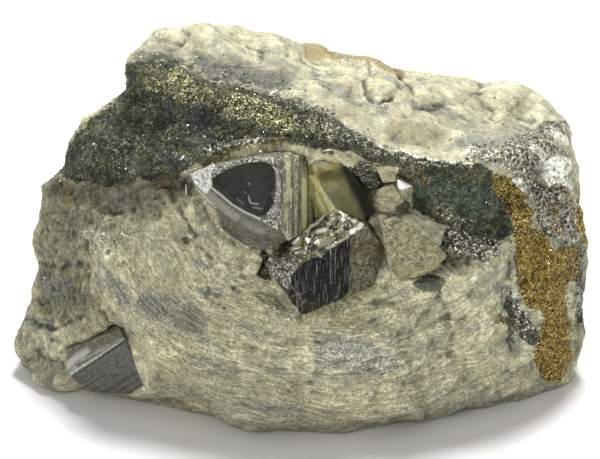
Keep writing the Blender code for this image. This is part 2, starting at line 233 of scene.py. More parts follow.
class Finish:
    # a material, and the nodes that it is made of

    def __init__(self, name):
        self.material = bpy.data.materials.new(name)
        self.material.use_nodes = True
        self.tree = self.material.node_tree
        self.tree.nodes.clear()
        self.place = None

    def node(self, kind, settings, inputs, output=0):
        made = self.tree.nodes.new("ShaderNode" + kind)
        for key, value in settings.items():
            setattr(made, key, value)
        for key, value in inputs.items():
            if isinstance(value, Wire):
                self.tree.links.new(value.socket, made.inputs[key])
            else:
                made.inputs[key].default_value = value
        return Wire(self, made.outputs[output])

    def millimetres(self):
        if self.place is None:
            spot = self.node("TexCoord", {}, {}, "Object")
            self.place = self.node("VectorMath", {"operation": "SCALE"}, {0: spot, "Scale": 1000})
        return self.place

    def stretched(self, vector, amounts):
        return self.node("VectorMath", {"operation": "MULTIPLY"}, {0: vector, 1: amounts})

    def noise(self, scale, detail=3, roughness=0.6, vector=None, distortion=0):
        return self.node("TexNoise", {}, {"Vector": vector or self.millimetres(), "Scale": scale,
                                          "Detail": detail, "Roughness": roughness,
                                          "Distortion": distortion})

    def cells(self, scale, vector=None):
        # one random number for each grain
        tint = self.node("TexVoronoi", {}, {"Vector": vector or self.millimetres(), "Scale": scale}, "Color")
        return self.node("SeparateColor", {}, {0: tint})

    def attribute(self, name, output="Fac"):
        return self.node("Attribute", {"attribute_name": name}, {}, output)

    def fade(self, value, low, high):
        return self.node("MapRange", {"interpolation_type": "SMOOTHSTEP"},
                         {"Value": value, "From Min": low, "From Max": high})

    def mix(self, share, first, second):
        first, second = [value if isinstance(value, Wire) else (*value, 1) for value in (first, second)]
        return self.node("Mix", {"data_type": "RGBA"}, {0: share, 6: first, 7: second}, 2)

    def brighten(self, colour, amount):
        return self.node("VectorMath", {"operation": "SCALE"}, {0: colour, "Scale": amount})

    def marked(self, colour, settings):
        # the marks painted on a crystal: a tint, dark lines and patches that are partly painted shade, and
        # bright lines and specks that are painted highlights
        colour = self.mix(self.attribute("warm") * 0.8, colour, settings.get("warm", (0.26, 0.19, 0.06)))
        colour = self.mix(self.attribute("shade"), colour, self.brighten(colour, 0.06))
        return self.mix(self.attribute("bright") * 0.9, colour, settings.get("bright", (0.80, 0.81, 0.72)))

    def bareMetal(self, settings):
        # how metallic a crystal's face is beside its drawn marks
        marks = self.attribute("bright") * 0.8 + self.attribute("shade") + self.attribute("warm") * 0.8
        return settings["metallic"] * self.fade(marks, 1.0, 0.0)

    def bump(self, height, distance):
        return self.node("Bump", {}, {"Strength": 1, "Distance": distance, "Height": height})

    def close(self, inputs):
        surface = self.node("BsdfPrincipled", {}, inputs)
        output = self.tree.nodes.new("ShaderNodeOutputMaterial")
        self.tree.links.new(surface.socket, output.inputs["Surface"])
        return self.material

    def closeCrystal(self, settings, colour, roughness, bumped):
        return self.close({"Base Color": self.marked(colour, settings), "Metallic": self.bareMetal(settings),
                           "Roughness": roughness, "Normal": bumped,
                           "Specular IOR Level": settings.get("shine", 0.4)})


def joinedNodes(names):
    # the CAD nodes' meshes with their loose triangles joined
    bm = bmesh.new()
    for name in names:
        bm.from_mesh(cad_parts[name].data)
    bmesh.ops.remove_doubles(bm, verts=bm.verts, dist=1e-6)
    return bm


def newMesh(name, bm):
    mesh = bpy.data.meshes.new(name)
    bm.to_mesh(mesh)
    bm.free()
    return mesh


def newObject(name, data):
    made = bpy.data.objects.new(name, data)
    bpy.context.scene.collection.objects.link(made)
    return made


def allParts(bm):
    return bm.verts[:] + bm.edges[:] + bm.faces[:]


def surfaceTree(bm):
    tree = BVHTree.FromBMesh(bm)
    bm.free()
    return tree


def newPiece(name, bm, materials, nodes):
    piece = newObject(name, newMesh(name, bm))
    for material in materials:
        piece.data.materials.append(material)
    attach(piece, "root")
    if nodes:
        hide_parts(*nodes)
    return piece


def readAll(items, name, width=1, kind=float):
    # one row of numbers for each vertex, edge or face
    values = np.zeros(len(items) * width, kind)
    items.foreach_get(name, values)
    return values.reshape(-1, width) if width > 1 else values


def places(mesh):
    return readAll(mesh.vertices, "co", 3)


def setPlaces(mesh, values):
    mesh.vertices.foreach_set("co", values.ravel())
    mesh.update()


def normals(mesh):
    return readAll(mesh.vertex_normals, "vector", 3)


def edgeEnds(mesh):
    return readAll(mesh.edges, "vertices", 2, int)


def relax(points, edges, rounds, share=0.5):
    # moves each point towards the middle of its neighbours
    count = np.bincount(edges.ravel(), minlength=len(points))[:, None]
    for _ in range(rounds):
        total = np.stack([np.bincount(edges[:, 0], points[edges[:, 1], axis], len(points))
                          + np.bincount(edges[:, 1], points[edges[:, 0], axis], len(points))
                          for axis in range(3)], axis=1)
        points = points + (total / count - points) * share
    return points


def storeNumbers(mesh, name, values):
    layer = mesh.attributes.new(name, "FLOAT", "POINT")
    layer.data.foreach_set("value", values.astype(np.float32))


def readNumbers(mesh, name):
    return readAll(mesh.attributes[name].data, "value", 1, np.float32)


def storeVectors(mesh, name, values):
    layer = mesh.attributes.new(name, "FLOAT_VECTOR", "POINT")
    layer.data.foreach_set("vector", values.astype(np.float32).ravel())


# What the rock is made of, and the painted shade and light on it, where the front shows it: outlines with a
# soft rim, and strokes.
# An outline is (rim, points...); a stroke is (half width, strength, points...).
minerals = {
    "dark": {   # sulphide-rich rock, greenish black
        "outlines": [(7, (68, 150), (84, 128), (104, 112), (118, 96), (128, 78), (127, 66), (142, 60),
            (168, 62), (200, 76), (240, 88), (288, 97), (322, 114), (345, 130), (375, 147), (350, 152),
            (320, 150), (296, 146), (262, 144), (236, 150), (210, 158), (186, 172), (150, 180), (110, 182),
            (76, 180), (58, 172)), (5, (400, 158), (440, 168), (490, 170), (497, 190), (506, 214), (514, 235),
            (498, 243), (482, 246), (462, 252), (449, 248), (441, 240), (447, 229), (438, 222), (424, 215),
            (412, 206), (412, 190), (399, 178))],
        "strokes": [(9, 0.9, (300, 126), (345, 145), (400, 160), (450, 168), (484, 171)),
            (10, 0.4, (196, 66), (240, 78), (290, 90), (322, 108)), (9, 1, (350, 168), (372, 176), (378, 186)),
            (14, 0.9, (508, 305), (522, 322), (532, 336)), (13, 0.6, (540, 192), (554, 210), (562, 228)),
            (7, 0.7, (574, 250), (580, 290), (578, 320)), (10, 0.9, (427, 281), (437, 284)),
            (13, 0.5, (452, 257), (482, 253)), (8, 0.5, (575, 235), (582, 255)),
            (6, 0.9, (262, 258), (268, 278))]},
    "cream": {   # ivory carbonate of the top
        "outlines": [(8, (140, 50), (150, 38), (180, 26), (205, 18), (240, 24), (300, 32), (350, 46), (390, 56),
            (420, 68), (500, 74), (540, 88), (556, 118), (545, 135), (508, 150), (480, 163), (440, 162),
            (400, 153), (374, 142), (345, 126), (318, 106), (285, 88), (240, 76), (200, 64), (165, 52))],
        "strokes": [(14, 0.8, (550, 130), (560, 150)), (18, 0.55, (440, 300), (470, 285), (500, 275)),
            (16, 0.35, (395, 300), (430, 320)), (13, 0.7, (356, 293), (380, 300)),
            (7, 0.35, (400, 228), (436, 222))]},
    "grey": {   # blue-grey quartz
        "outlines": [(7, (186, 52), (215, 58), (245, 64), (285, 72), (292, 90), (262, 92), (226, 86),
            (196, 74))],
        "strokes": [(13, 0.8, (142, 58), (178, 60)), (10, 0.5, (212, 44), (232, 54)),
            (24, 0.85, (150, 306), (176, 311), (194, 322)), (10, 0.5, (200, 336), (214, 346)),
            (10, 0.4, (196, 262), (226, 276)), (9, 0.35, (236, 330), (262, 338)),
            (15, 0.75, (104, 282), (124, 296)), (7, 0.9, (205, 293), (222, 294)),
            (6, 0.8, (232, 286), (240, 292)), (27, 0.95, (330, 352), (356, 356), (378, 362)),
            (8, 0.7, (318, 84), (346, 96), (384, 112)), (7, 0.5, (296, 62), (326, 80)),
            (5, 0.8, (414, 106), (436, 111), (456, 118)), (7, 0.6, (474, 134), (500, 130), (520, 127)),
            (8, 0.6, (548, 92), (558, 112)), (6, 0.5, (400, 84), (420, 90)), (8, 0.6, (156, 36), (168, 48)),
            (8, 0.6, (262, 54), (282, 66)), (11, 0.6, (192, 360), (216, 362), (236, 368)),
            (17, 0.7, (46, 282), (76, 296)), (9, 0.9, (24, 322), (48, 326)),
            (11, 0.9, (462, 146), (500, 142), (530, 134), (554, 127)),
            (20, 0.8, (514, 156), (548, 196), (560, 235)), (10, 1, (562, 228), (564, 248)),
            (12, 0.8, (500, 290), (516, 318), (512, 350)), (8, 0.8, (580, 262), (584, 330)),
            (12, 0.4, (380, 328), (398, 352)), (14, 0.5, (250, 404), (330, 414)),
            (16, 0.5, (430, 395), (480, 392)), (12, 0.6, (120, 200), (130, 205)),
            (9, 0.6, (460, 320), (474, 330))]},
    "rust": {   # iron-stained sulphide of the right end
        "outlines": [(5, (515, 238), (530, 228), (546, 234), (549, 247), (553, 252), (562, 248), (572, 242),
            (580, 248), (581, 264), (576, 278), (567, 284), (563, 296), (567, 312), (568, 350), (564, 374),
            (555, 383), (545, 382), (537, 370), (532, 357), (535, 345), (543, 335), (545, 320), (541, 309),
            (530, 307), (521, 298), (516, 280)), (4, (491, 172), (500, 173), (512, 180), (521, 192), (530, 199),
            (531, 212), (529, 232), (514, 242), (511, 224), (503, 208), (495, 192))],
        "strokes": [(10, 0.8, (576, 212), (584, 238)), (9, 0.7, (550, 206), (556, 232)),
            (7, 0.6, (566, 196), (574, 214)), (8, 0.4, (275, 96), (284, 104)), (7, 0.5, (424, 176), (428, 186)),
            (9, 0.3, (62, 178), (66, 202)), (6, 0.6, (558, 188), (562, 194))]},
    "olive": {   # tarnish, yellow to olive
        "strokes": [(11, 0.45, (150, 70), (200, 84), (250, 96)), (9, 0.6, (210, 158), (245, 146), (285, 142)),
            (12, 0.5, (304, 312), (330, 306), (360, 296), (385, 290)),
            (9, 0.35, (312, 52), (350, 58), (392, 72)), (11, 0.4, (508, 118), (520, 106)),
            (12, 0.35, (196, 68), (232, 84), (262, 92)), (11, 0.45, (245, 288), (280, 312), (300, 320)),
            (10, 0.35, (178, 176), (200, 208)), (8, 0.7, (495, 318), (510, 322))]},
    "gold": {   # yellow glints of pyrite
        "strokes": [(11, 1, (178, 76), (186, 88)), (14, 0.5, (150, 84), (215, 100)),
            (20, 0.8, (235, 104), (262, 112), (284, 124)), (12, 0.5, (290, 118), (330, 138)),
            (26, 0.7, (535, 250), (555, 280), (556, 350))]},
    "brown": {   # dull brown rock of the left
        "outlines": [(9, (52, 178), (70, 182), (110, 184), (150, 182), (186, 176), (196, 200), (170, 214),
            (150, 226), (110, 232), (92, 228), (88, 250), (92, 286), (104, 316), (70, 330), (40, 312),
            (36, 240))],
        "strokes": [(22, 0.35, (30, 350), (50, 372)), (12, 0.65, (134, 60), (150, 50), (172, 56)),
            (8, 0.45, (186, 64), (216, 72)), (13, 0.6, (72, 344), (84, 326), (112, 322)),
            (12, 0.5, (70, 330), (120, 318))]},
    "ochre": {   # orange-brown stains
        "strokes": [(8, 0.9, (68, 182), (72, 200)), (8, 0.7, (108, 185), (120, 190)),
            (9, 0.7, (160, 184), (170, 194)), (6, 0.6, (66, 168), (80, 172)),
            (8, 0.9, (308, 51), (330, 56), (359, 58), (379, 64), (397, 75)), (6, 0.5, (230, 36), (240, 41)),
            (6, 0.6, (343, 88), (348, 90)), (10, 0.4, (376, 80), (390, 96)),
            (22, 0.5, (400, 133), (416, 129), (434, 137)), (10, 0.35, (330, 78), (372, 92)),
            (11, 0.4, (506, 122), (514, 112), (522, 102)), (8, 0.4, (470, 96), (484, 112)),
            (5, 0.8, (424, 172), (428, 184)), (5, 0.6, (272, 252), (290, 250)),
            (7, 0.5, (395, 238), (398, 262)), (8, 0.3, (478, 366), (500, 372)),
            (7, 0.35, (330, 326), (352, 318))]},
    "white": {   # sugary white carbonate
        "outlines": [(5, (536, 166), (544, 156), (560, 152), (570, 162), (566, 174), (570, 184), (556, 182),
            (546, 187), (540, 176)), (2.5, (512, 178), (520, 176), (529, 188), (526, 194), (516, 187))],
        "strokes": [(9, 0.7, (554, 132), (562, 142)), (6, 1, (476, 281), (479, 286)),
            (5, 0.8, (400, 154), (440, 162), (470, 165)), (9, 0.4, (478, 270), (500, 262), (508, 252)),
            (7, 0.7, (466, 152), (480, 154)), (8, 0.4, (344, 60), (352, 62)), (9, 0.7, (534, 148), (548, 158)),
            (8, 0.8, (560, 176), (568, 192)), (6, 0.5, (556, 100), (562, 118)),
            (6, 0.4, (350, 388), (372, 392)), (17, 0.42, (330, 350), (358, 354), (380, 362)),
            (14, 0.25, (420, 330), (450, 350))]},
    "pepper": {   # black and white grains, salt and pepper
        "outlines": [(4, (498, 151), (510, 140), (526, 128), (542, 123), (562, 121), (568, 128), (552, 136),
            (548, 144), (562, 150), (566, 158), (550, 160), (538, 166), (532, 184), (520, 180), (506, 168)),
            (5, (530, 190), (546, 186), (566, 190), (577, 214), (572, 238), (560, 246), (549, 236), (538, 224),
            (530, 206))],
        "strokes": [(8, 0.8, (468, 150), (510, 152)), (12, 0.42, (88, 234), (112, 238), (134, 232)),
            (9, 0.4, (272, 92), (330, 118)), (17, 0.75, (450, 240), (490, 250)),
            (12, 0.42, (300, 122), (345, 138), (394, 151)), (9, 0.6, (470, 158), (508, 160)),
            (8, 0.6, (440, 212), (462, 222)), (8, 0.35, (100, 240), (96, 252)),
            (16, 0.9, (534, 192), (550, 214), (560, 232)), (8, 0.7, (577, 286), (580, 310)),
            (12, 0.6, (512, 296), (528, 326)), (6, 0.6, (404, 158), (470, 166)),
            (6, 0.5, (255, 295), (290, 318)), (7, 0.6, (205, 150), (232, 144), (262, 142))]},
    "teal": {   # green-blue tint of the dark rock
        "strokes": [(9, 0.8, (168, 98), (170, 122)), (15, 0.7, (126, 148), (138, 172)),
            (26, 0.8, (430, 185), (470, 200)), (9, 0.8, (486, 190), (494, 206))]},
    "plum": {   # purple-black tint
        "strokes": [(18, 0.9, (198, 112), (205, 140)), (13, 0.8, (170, 158), (190, 168)),
            (7, 0.8, (418, 206), (426, 212)), (13, 0.6, (462, 222), (478, 238))]},
    # painted shade in hollows, under knobs and along the foot, and a darker tone
    "shadeAndDarkTone": {   # darker places
        "strokes": [(21, 0.9, (60, 184), (104, 196), (150, 196), (182, 186)), (14, 0.4, (98, 226), (134, 240)),
            (22, 0.35, (48, 282), (76, 300)), (26, 0.5, (26, 350), (60, 376)),
            (28, 0.4, (170, 384), (290, 394)), (20, 0.4, (150, 306), (196, 322)),
            (17, 0.7, (206, 62), (240, 72), (282, 80)), (16, 0.3, (394, 132), (436, 138)),
            (34, 0.45, (84, 160), (130, 132), (205, 124)), (11, 0.4, (508, 120), (522, 106)),
            (12, 0.45, (518, 140), (546, 130)), (4, 0.5, (366, 84), (370, 98), (384, 104)),
            (5, 0.5, (398, 72), (404, 84), (414, 108)), (5, 0.5, (414, 112), (440, 110), (462, 116)),
            (12, 0.25, (338, 100), (366, 120)), (6, 0.4, (476, 94), (486, 110)),
            (15, 0.35, (552, 330), (549, 370)), (5, 0.6, (517, 256), (520, 296)),
            (8, 0.25, (286, 66), (330, 88)), (13, 0.6, (570, 256), (582, 300), (574, 350)),
            (12, 0.3, (500, 330), (506, 350)), (9, 0.4, (24, 318), (46, 326)), (9, 0.25, (104, 340), (74, 330)),
            (7, 0.4, (268, 262), (300, 318)), (5, 0.5, (439, 298), (446, 314), (444, 332)),
            (6, 0.4, (404, 310), (418, 314), (430, 326)), (7, 0.5, (412, 384), (420, 396), (426, 408)),
            (5, 0.3, (350, 330), (372, 326), (398, 336)), (9, 0.4, (394, 416), (424, 424)),
            (7, 0.3, (324, 340), (320, 372)), (6, 0.3, (402, 346), (408, 366)),
            (9, 0.4, (580, 262), (584, 330))]},
    "lit": {   # paler places: painted light in the recess under the lip, and a paler tone
        "strokes": [(26, 0.6, (320, 350), (384, 360)), (18, 0.3, (235, 104), (262, 112), (284, 124)),
            (11, 0.35, (178, 76), (186, 88)), (12, 0.5, (544, 160), (556, 176)),
            (14, 0.3, (160, 214), (196, 206)), (34, 0.7, (410, 190), (480, 210)),
            (14, 0.9, (444, 246), (482, 256)), (14, 0.35, (450, 288), (472, 308), (484, 338)),
            (11, 0.3, (362, 300), (398, 304)), (12, 0.2, (306, 72), (330, 78)),
            (12, 0.3, (420, 300), (450, 292))]},
    "shadeAndGrime": {   # grey-green tint with painted shade along the foot
        "strokes": [(20, 0.9, (150, 404), (230, 428), (330, 436), (440, 416), (560, 392)),
            (12, 0.8, (40, 392), (120, 402), (160, 408))]},
}


def strokeShare(spots, strokes):
    share = np.zeros(len(spots))
    for halfWidth, strength, *path in strokes:
        share = np.maximum(share, strength * ease(1 - pathDistance(spots, path) / halfWidth, 0, 0.7))
    return share


def mineralShare(spots, mineral):
    share = np.zeros(len(spots))
    for rim, *outline in minerals[mineral].get("outlines", []):
        share = np.maximum(share, ease(outlineDepth(spots, outline), -rim, rim))
    return np.maximum(share, strokeShare(spots, minerals[mineral]["strokes"]))


# Where the front view doesn't reach, a mineral lies in clouds: (size in mm, low, high, strength)
clouds = {
    "dark": (20, 0.35, 0.95, 1.0), "cream": (15, 0.1, 0.5, 0.6), "grey": (12, 0.1, 0.7, 0.9),
    "rust": (13, 0.75, 1.2, 0.7), "olive": (8, 0.4, 0.7, 0.4), "gold": (9, 0.45, 0.7, 0.5),
    "brown": (12, 0.1, 0.5, 0.8), "ochre": (6, 0.5, 0.9, 0.6), "white": (6, 0.6, 0.9, 0.6),
    "pepper": (8, 0.6, 1.0, 0.6), "teal": (10, 0.3, 0.6, 0.5), "plum": (9, 0.35, 0.6, 0.5),
    "shadeAndGrime": (11, 0.4, 0.7, 0.4), "shadeAndDarkTone": (13, 0.2, 0.6, 0.4), "lit": (12, 0.3, 0.6, 0.3),
}

rock = {
    "voxel": 0.00056,   # mesh of the whole rock, halved where it faces the front
    "roundOff": 5,
    "pressReach": 0.001,   # rock this near a crystal is pressed to it
    "pressGap": 0.0003,   # the room that the part keeps there
    "flatFoot": 0.0012,   # below this the rock gets less relief, so that it stands
    "facing": (-0.25, 0.15),   # how a slope has to face the eye to be painted by the front view
    "foldMiddle": (330, 196),   # the folds of the bulge run round this spot
    "foldShape": (1.3, 1),
    "bulge": [(128, 240), (190, 232), (262, 262), (300, 318), (350, 300), (400, 290), (450, 285), (496, 276),
        (504, 330), (516, 380), (450, 410), (392, 424), (330, 440), (230, 432), (160, 400), (124, 336),
        (100, 280)],
    "foldDrift": 6,   # how far the folds stray, in sheet units
    "bulgeRim": (-16, 18),   # from where to where the bulge's rim fades
    "raggedRim": 3.2,   # how far noise moves the rims of the minerals
    # (half width, depth in mm, points...)
    "cracks": [(5, 0.5, (88, 240), (89, 262), (91, 286), (104, 314), (126, 337)),
        (7, 0.2, (320, 322), (314, 338), (322, 352), (316, 372)), (6, 0.3, (440, 300), (452, 330), (448, 352)),
        (3.5, 0.3, (240, 276), (262, 290), (300, 318)),
        (5, 0.5, (512, 252), (508, 290), (512, 330), (508, 352)), (4, 0.5, (446, 262), (430, 276), (410, 278)),
        (7, 0.25, (122, 262), (124, 295), (155, 336), (186, 356)),
        (9, 0.28, (388, 300), (406, 322), (396, 346), (408, 368), (400, 392)),
        (7, 0.35, (440, 292), (424, 312), (410, 334)), (8, 0.3, (470, 296), (462, 330), (474, 352)),
        (8, 0.3, (410, 370), (440, 352), (480, 356)), (5, 0.35, (350, 296), (372, 304), (400, 302)),
        (3.5, 0.9, (365, 66), (372, 74), (392, 78), (402, 80)),
        (4, 0.7, (366, 84), (368, 98), (380, 104), (392, 100)),
        (4, 0.6, (414, 111), (440, 109), (458, 113), (474, 125)), (4.5, 0.5, (404, 82), (412, 96), (424, 108)),
        (5, 0.5, (476, 92), (484, 108), (500, 118)), (5, 0.5, (520, 118), (545, 122), (562, 134)),
        (5, 0.4, (190, 50), (205, 62), (232, 66), (262, 60)), (4, 0.4, (250, 44), (262, 54), (290, 56)),
        (4, 0.35, (158, 44), (180, 46), (188, 34)), (4.5, 0.4, (300, 60), (318, 74), (345, 72)),
        (5, 0.45, (138, 62), (160, 58), (186, 66), (214, 84), (250, 92), (290, 96), (322, 112)),
        (5, 0.45, (60, 176), (100, 184), (140, 180), (180, 176)), (5, 0.35, (100, 210), (128, 214), (160, 200)),
        (6, 0.5, (170, 196), (182, 216), (196, 234)), (6, 0.4, (40, 262), (62, 268), (84, 262)),
        (5, 0.5, (24, 318), (50, 330), (80, 318)), (4.5, 1.2, (262, 252), (266, 262), (263, 276))],
    # (spot, radius, height in mm)
    "knobs": [((252, 258), 8, 0.5), ((251, 268), 8, 0.6), ((381, 85), (17, 12), 0.8),
        ((436, 93), (36, 14), 0.7), ((470, 82), 10, 0.4), ((556, 166), (15, 11), 0.7),
        ((546, 178), (11, 8), 0.6), ((341, 88), 10, 0.4), ((316, 92), 12, 0.4), ((204, 36), 13, 0.5),
        ((170, 38), 14, 0.5), ((276, 52), 12, 0.4), ((502, 98), (18, 14), 0.6), ((540, 104), 14, 0.5),
        ((414, 131), (24, 14), 0.6), ((150, 200), 12, 0.5), ((108, 196), 12, 0.4), ((62, 226), 14, 0.4),
        ((40, 372), 16, 0.6), ((52, 350), 10, 0.4), ((164, 196), 8, 0.5)],
    # (spot, half width, depth in mm)
    "holes": [((325, 152), 4, 1.3), ((331, 153.5), 4, 1.3), ((400, 79), 5, 0.9), ((430, 284), 10, 0.5),
        ((504, 320), 6, 0.5), ((446, 316), 12, 0.35), ((428, 366), 14, 0.3), ((376, 300), 9, 0.35),
        ((265, 264), 4.5, 1.2), ((108, 252), 4, 0.5), ((224, 308), 1.8, 0.5), ((209, 292), 6, 0.35),
        ((234, 288), 4, 0.3), ((186, 240), 6, 0.5)],
}


def rockMesh():
    # the CAD rock as an even mesh, finer where the front view sees it
    work = newObject("rock work", newMesh("rock work", joinedNodes(["matrix_rock"])))
    remesh = work.modifiers.new("even", "REMESH")
    remesh.mode = "VOXEL"
    remesh.voxel_size = rock["voxel"]
    bpy.context.view_layer.update()
    even = bpy.data.meshes.new_from_object(work.evaluated_get(bpy.context.evaluated_depsgraph_get()))
    bpy.data.objects.remove(work)
    setPlaces(even, relax(places(even), edgeEnds(even), rock["roundOff"]))
    bm = bmesh.new()
    bm.from_mesh(even)
    bm.normal_update()
    seen = {edge for face in bm.faces if face.normal.dot(toEye) > 0.02 for edge in face.edges}
    bmesh.ops.subdivide_edges(bm, edges=sorted(seen, key=lambda edge: edge.index), cuts=1,
                              use_grid_fill=True, smooth=0.35)
    bmesh.ops.triangulate(bm, faces=bm.faces)
    return bm


def crystalTree():
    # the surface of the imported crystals, to press the rock to
    bm = joinedNodes(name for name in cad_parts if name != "matrix_rock")
    bmesh.ops.recalc_face_normals(bm, faces=bm.faces)
    return surfaceTree(bm)


def shapeRock(piece):
    mesh = piece.data
    points = places(mesh)
    edges = edgeEnds(mesh)
    outward = normals(mesh)
    exactSpots = toSheet(points)
    inMm = points * 1000
    wander = np.stack([roughNoise(inMm, 2.4, 3, 401), roughNoise(inMm, 2.4, 3, 431)], axis=1)
    spots = exactSpots + wander * rock["raggedRim"]
    facing = ease(outward @ np.array(toEye), *rock["facing"])
    # past the front the minerals lie in beds that dip to one side
    bedded = np.stack([inMm[:, 0] * 0.5, inMm[:, 1] * 0.8, (inMm[:, 2] + inMm[:, 0] * 0.35) * 1.7], axis=1)
    shares = {}
    for order, mineral in enumerate(minerals):
        size, low, high, strength = clouds[mineral]
        cloud = strength * ease(roughNoise(bedded, size, 4, 300 + order * 7, 0.7), low, high)
        shares[mineral] = facing * mineralShare(spots, mineral) + (1 - facing) * cloud
    bulge = facing * ease(outlineDepth(spots, rock["bulge"]), *rock["bulgeRim"])

    # folds run round the bulge like the layers of an onion
    drift = np.stack([roughNoise(inMm, 9, 2, 441), roughNoise(inMm, 9, 2, 451)], axis=1) * rock["foldDrift"]
    fromMiddle = exactSpots + drift + wander * 1.3 - np.array(rock["foldMiddle"])
    fromMiddle = fromMiddle / np.array(rock["foldShape"])
    across = np.linalg.norm(fromMiddle, axis=1) / 7
    along = np.arctan2(fromMiddle[:, 1], fromMiddle[:, 0]) * 14
    foldPlace = np.stack([across, along, inMm[:, 1] * 0.2], axis=1)
    folds = roughNoise(foldPlace * np.array([1.0, 0.16, 0.2]), 1.0, 4, 21)

    broken = 1 - 0.75 * bulge * (1 - 0.8 * ease(exactSpots[:, 0], 330, 410))
    sulphide = np.clip(shares["dark"] + shares["rust"] + shares["olive"], 0, 1)
    rise = roughNoise(inMm, 4.5, 3, 1) * 0.16
    smoothTop = 1 - 0.75 * shares["cream"]
    soft = np.maximum(bulge, shares["cream"])
    rise += brokenFacets(inMm, 3.4, 2) * 0.30 * broken * smoothTop
    rise += brokenFacets(inMm, 1.5, 3) * 0.13 * (0.4 + 0.6 * broken) * smoothTop
    rise += folds * 0.10 * bulge + brokenFacets(foldPlace * np.array([1.0, 0.5, 0.4]), 2.2, 12) * 0.2 * bulge
    rise += roughNoise(foldPlace * np.array([2.6, 0.6, 0.6]), 1.0, 2, 25) * 0.035 * bulge
    rise += (mineralGrains(inMm, 0.95, 4) - 0.5) * (0.03 * (1 - soft) + 0.14 * sulphide)
    rise += roughNoise(inMm, 0.7, 2, 5) * (0.06 - 0.04 * soft)
    rise += shares["cream"] * ((lumps(inMm, 6.4, 6) - 0.5) * 0.6 + (lumps(inMm, 2.4, 8) - 0.5) * 0.07
                               + roughNoise(inMm, 1.5, 3, 10) * 0.05)
    rise += shares["white"] * (lumps(inMm, 1.4, 9) - 0.5) * 0.25
    patchiness = 0.6 + 0.4 * roughNoise(inMm, 2.6, 2, 7)   # a crack is deep in places
    for halfWidth, depth, *path in rock["cracks"]:
        rise -= facing * depth * patchiness * ease(1 - pathDistance(spots, path) / halfWidth, 0, 1)
    for spot, halfWidth, depth in rock["holes"]:
        rise -= facing * depth * ease(1 - np.linalg.norm(exactSpots - spot, axis=1) / halfWidth, 0, 0.8)
    for spot, radius, height in rock["knobs"]:
        away = np.linalg.norm((exactSpots + wander * 1.2 - spot) / np.array(radius), axis=1)
        rise += facing * height * np.clip(1 - away ** 2, 0, 1) ** 0.8
    floorFade = ease(points[:, 2], 0, rock["flatFoot"])
    points = points + outward * (rise * floorFade / 1000)[:, None]
    points[:, 2] = np.maximum(points[:, 2], cadBox[0][2])

    tree = crystalTree()
    near = np.zeros(len(points))
    for index in np.flatnonzero(facing > 0.01):
        place, _, _, away = tree.find_nearest(Vector(points[index]), rock["pressReach"])
        if place is not None:
            pull = rock["pressGap"] * 1.15 * ease(np.array(away), rock["pressReach"], rock["pressGap"])
            points[index] += (np.array(place) - points[index]) / max(away, 1e-9) * min(pull, away + 5e-5)
            near[index] = ease(np.array(away), rock["pressReach"], rock["pressGap"])
    setPlaces(mesh, points)

    outward = normals(mesh)
    fine = np.sum((relax(points, edges, 4) - points) * outward, axis=1) * 1000
    broad = np.sum((relax(points, edges, 30) - points) * outward, axis=1) * 1000
    storeNumbers(mesh, "hollow", np.clip(fine * (6 - 3 * soft) + broad * 1.6, -1, 1))
    # how near the rock lies to a crystal, for painted shade there
    storeNumbers(mesh, "socket", near)
    storeNumbers(mesh, "bulge", bulge)
    storeVectors(mesh, "foldPlace", foldPlace)
    for mineral, share in shares.items():
        storeNumbers(mesh, mineral, share)
    mesh.shade_smooth()


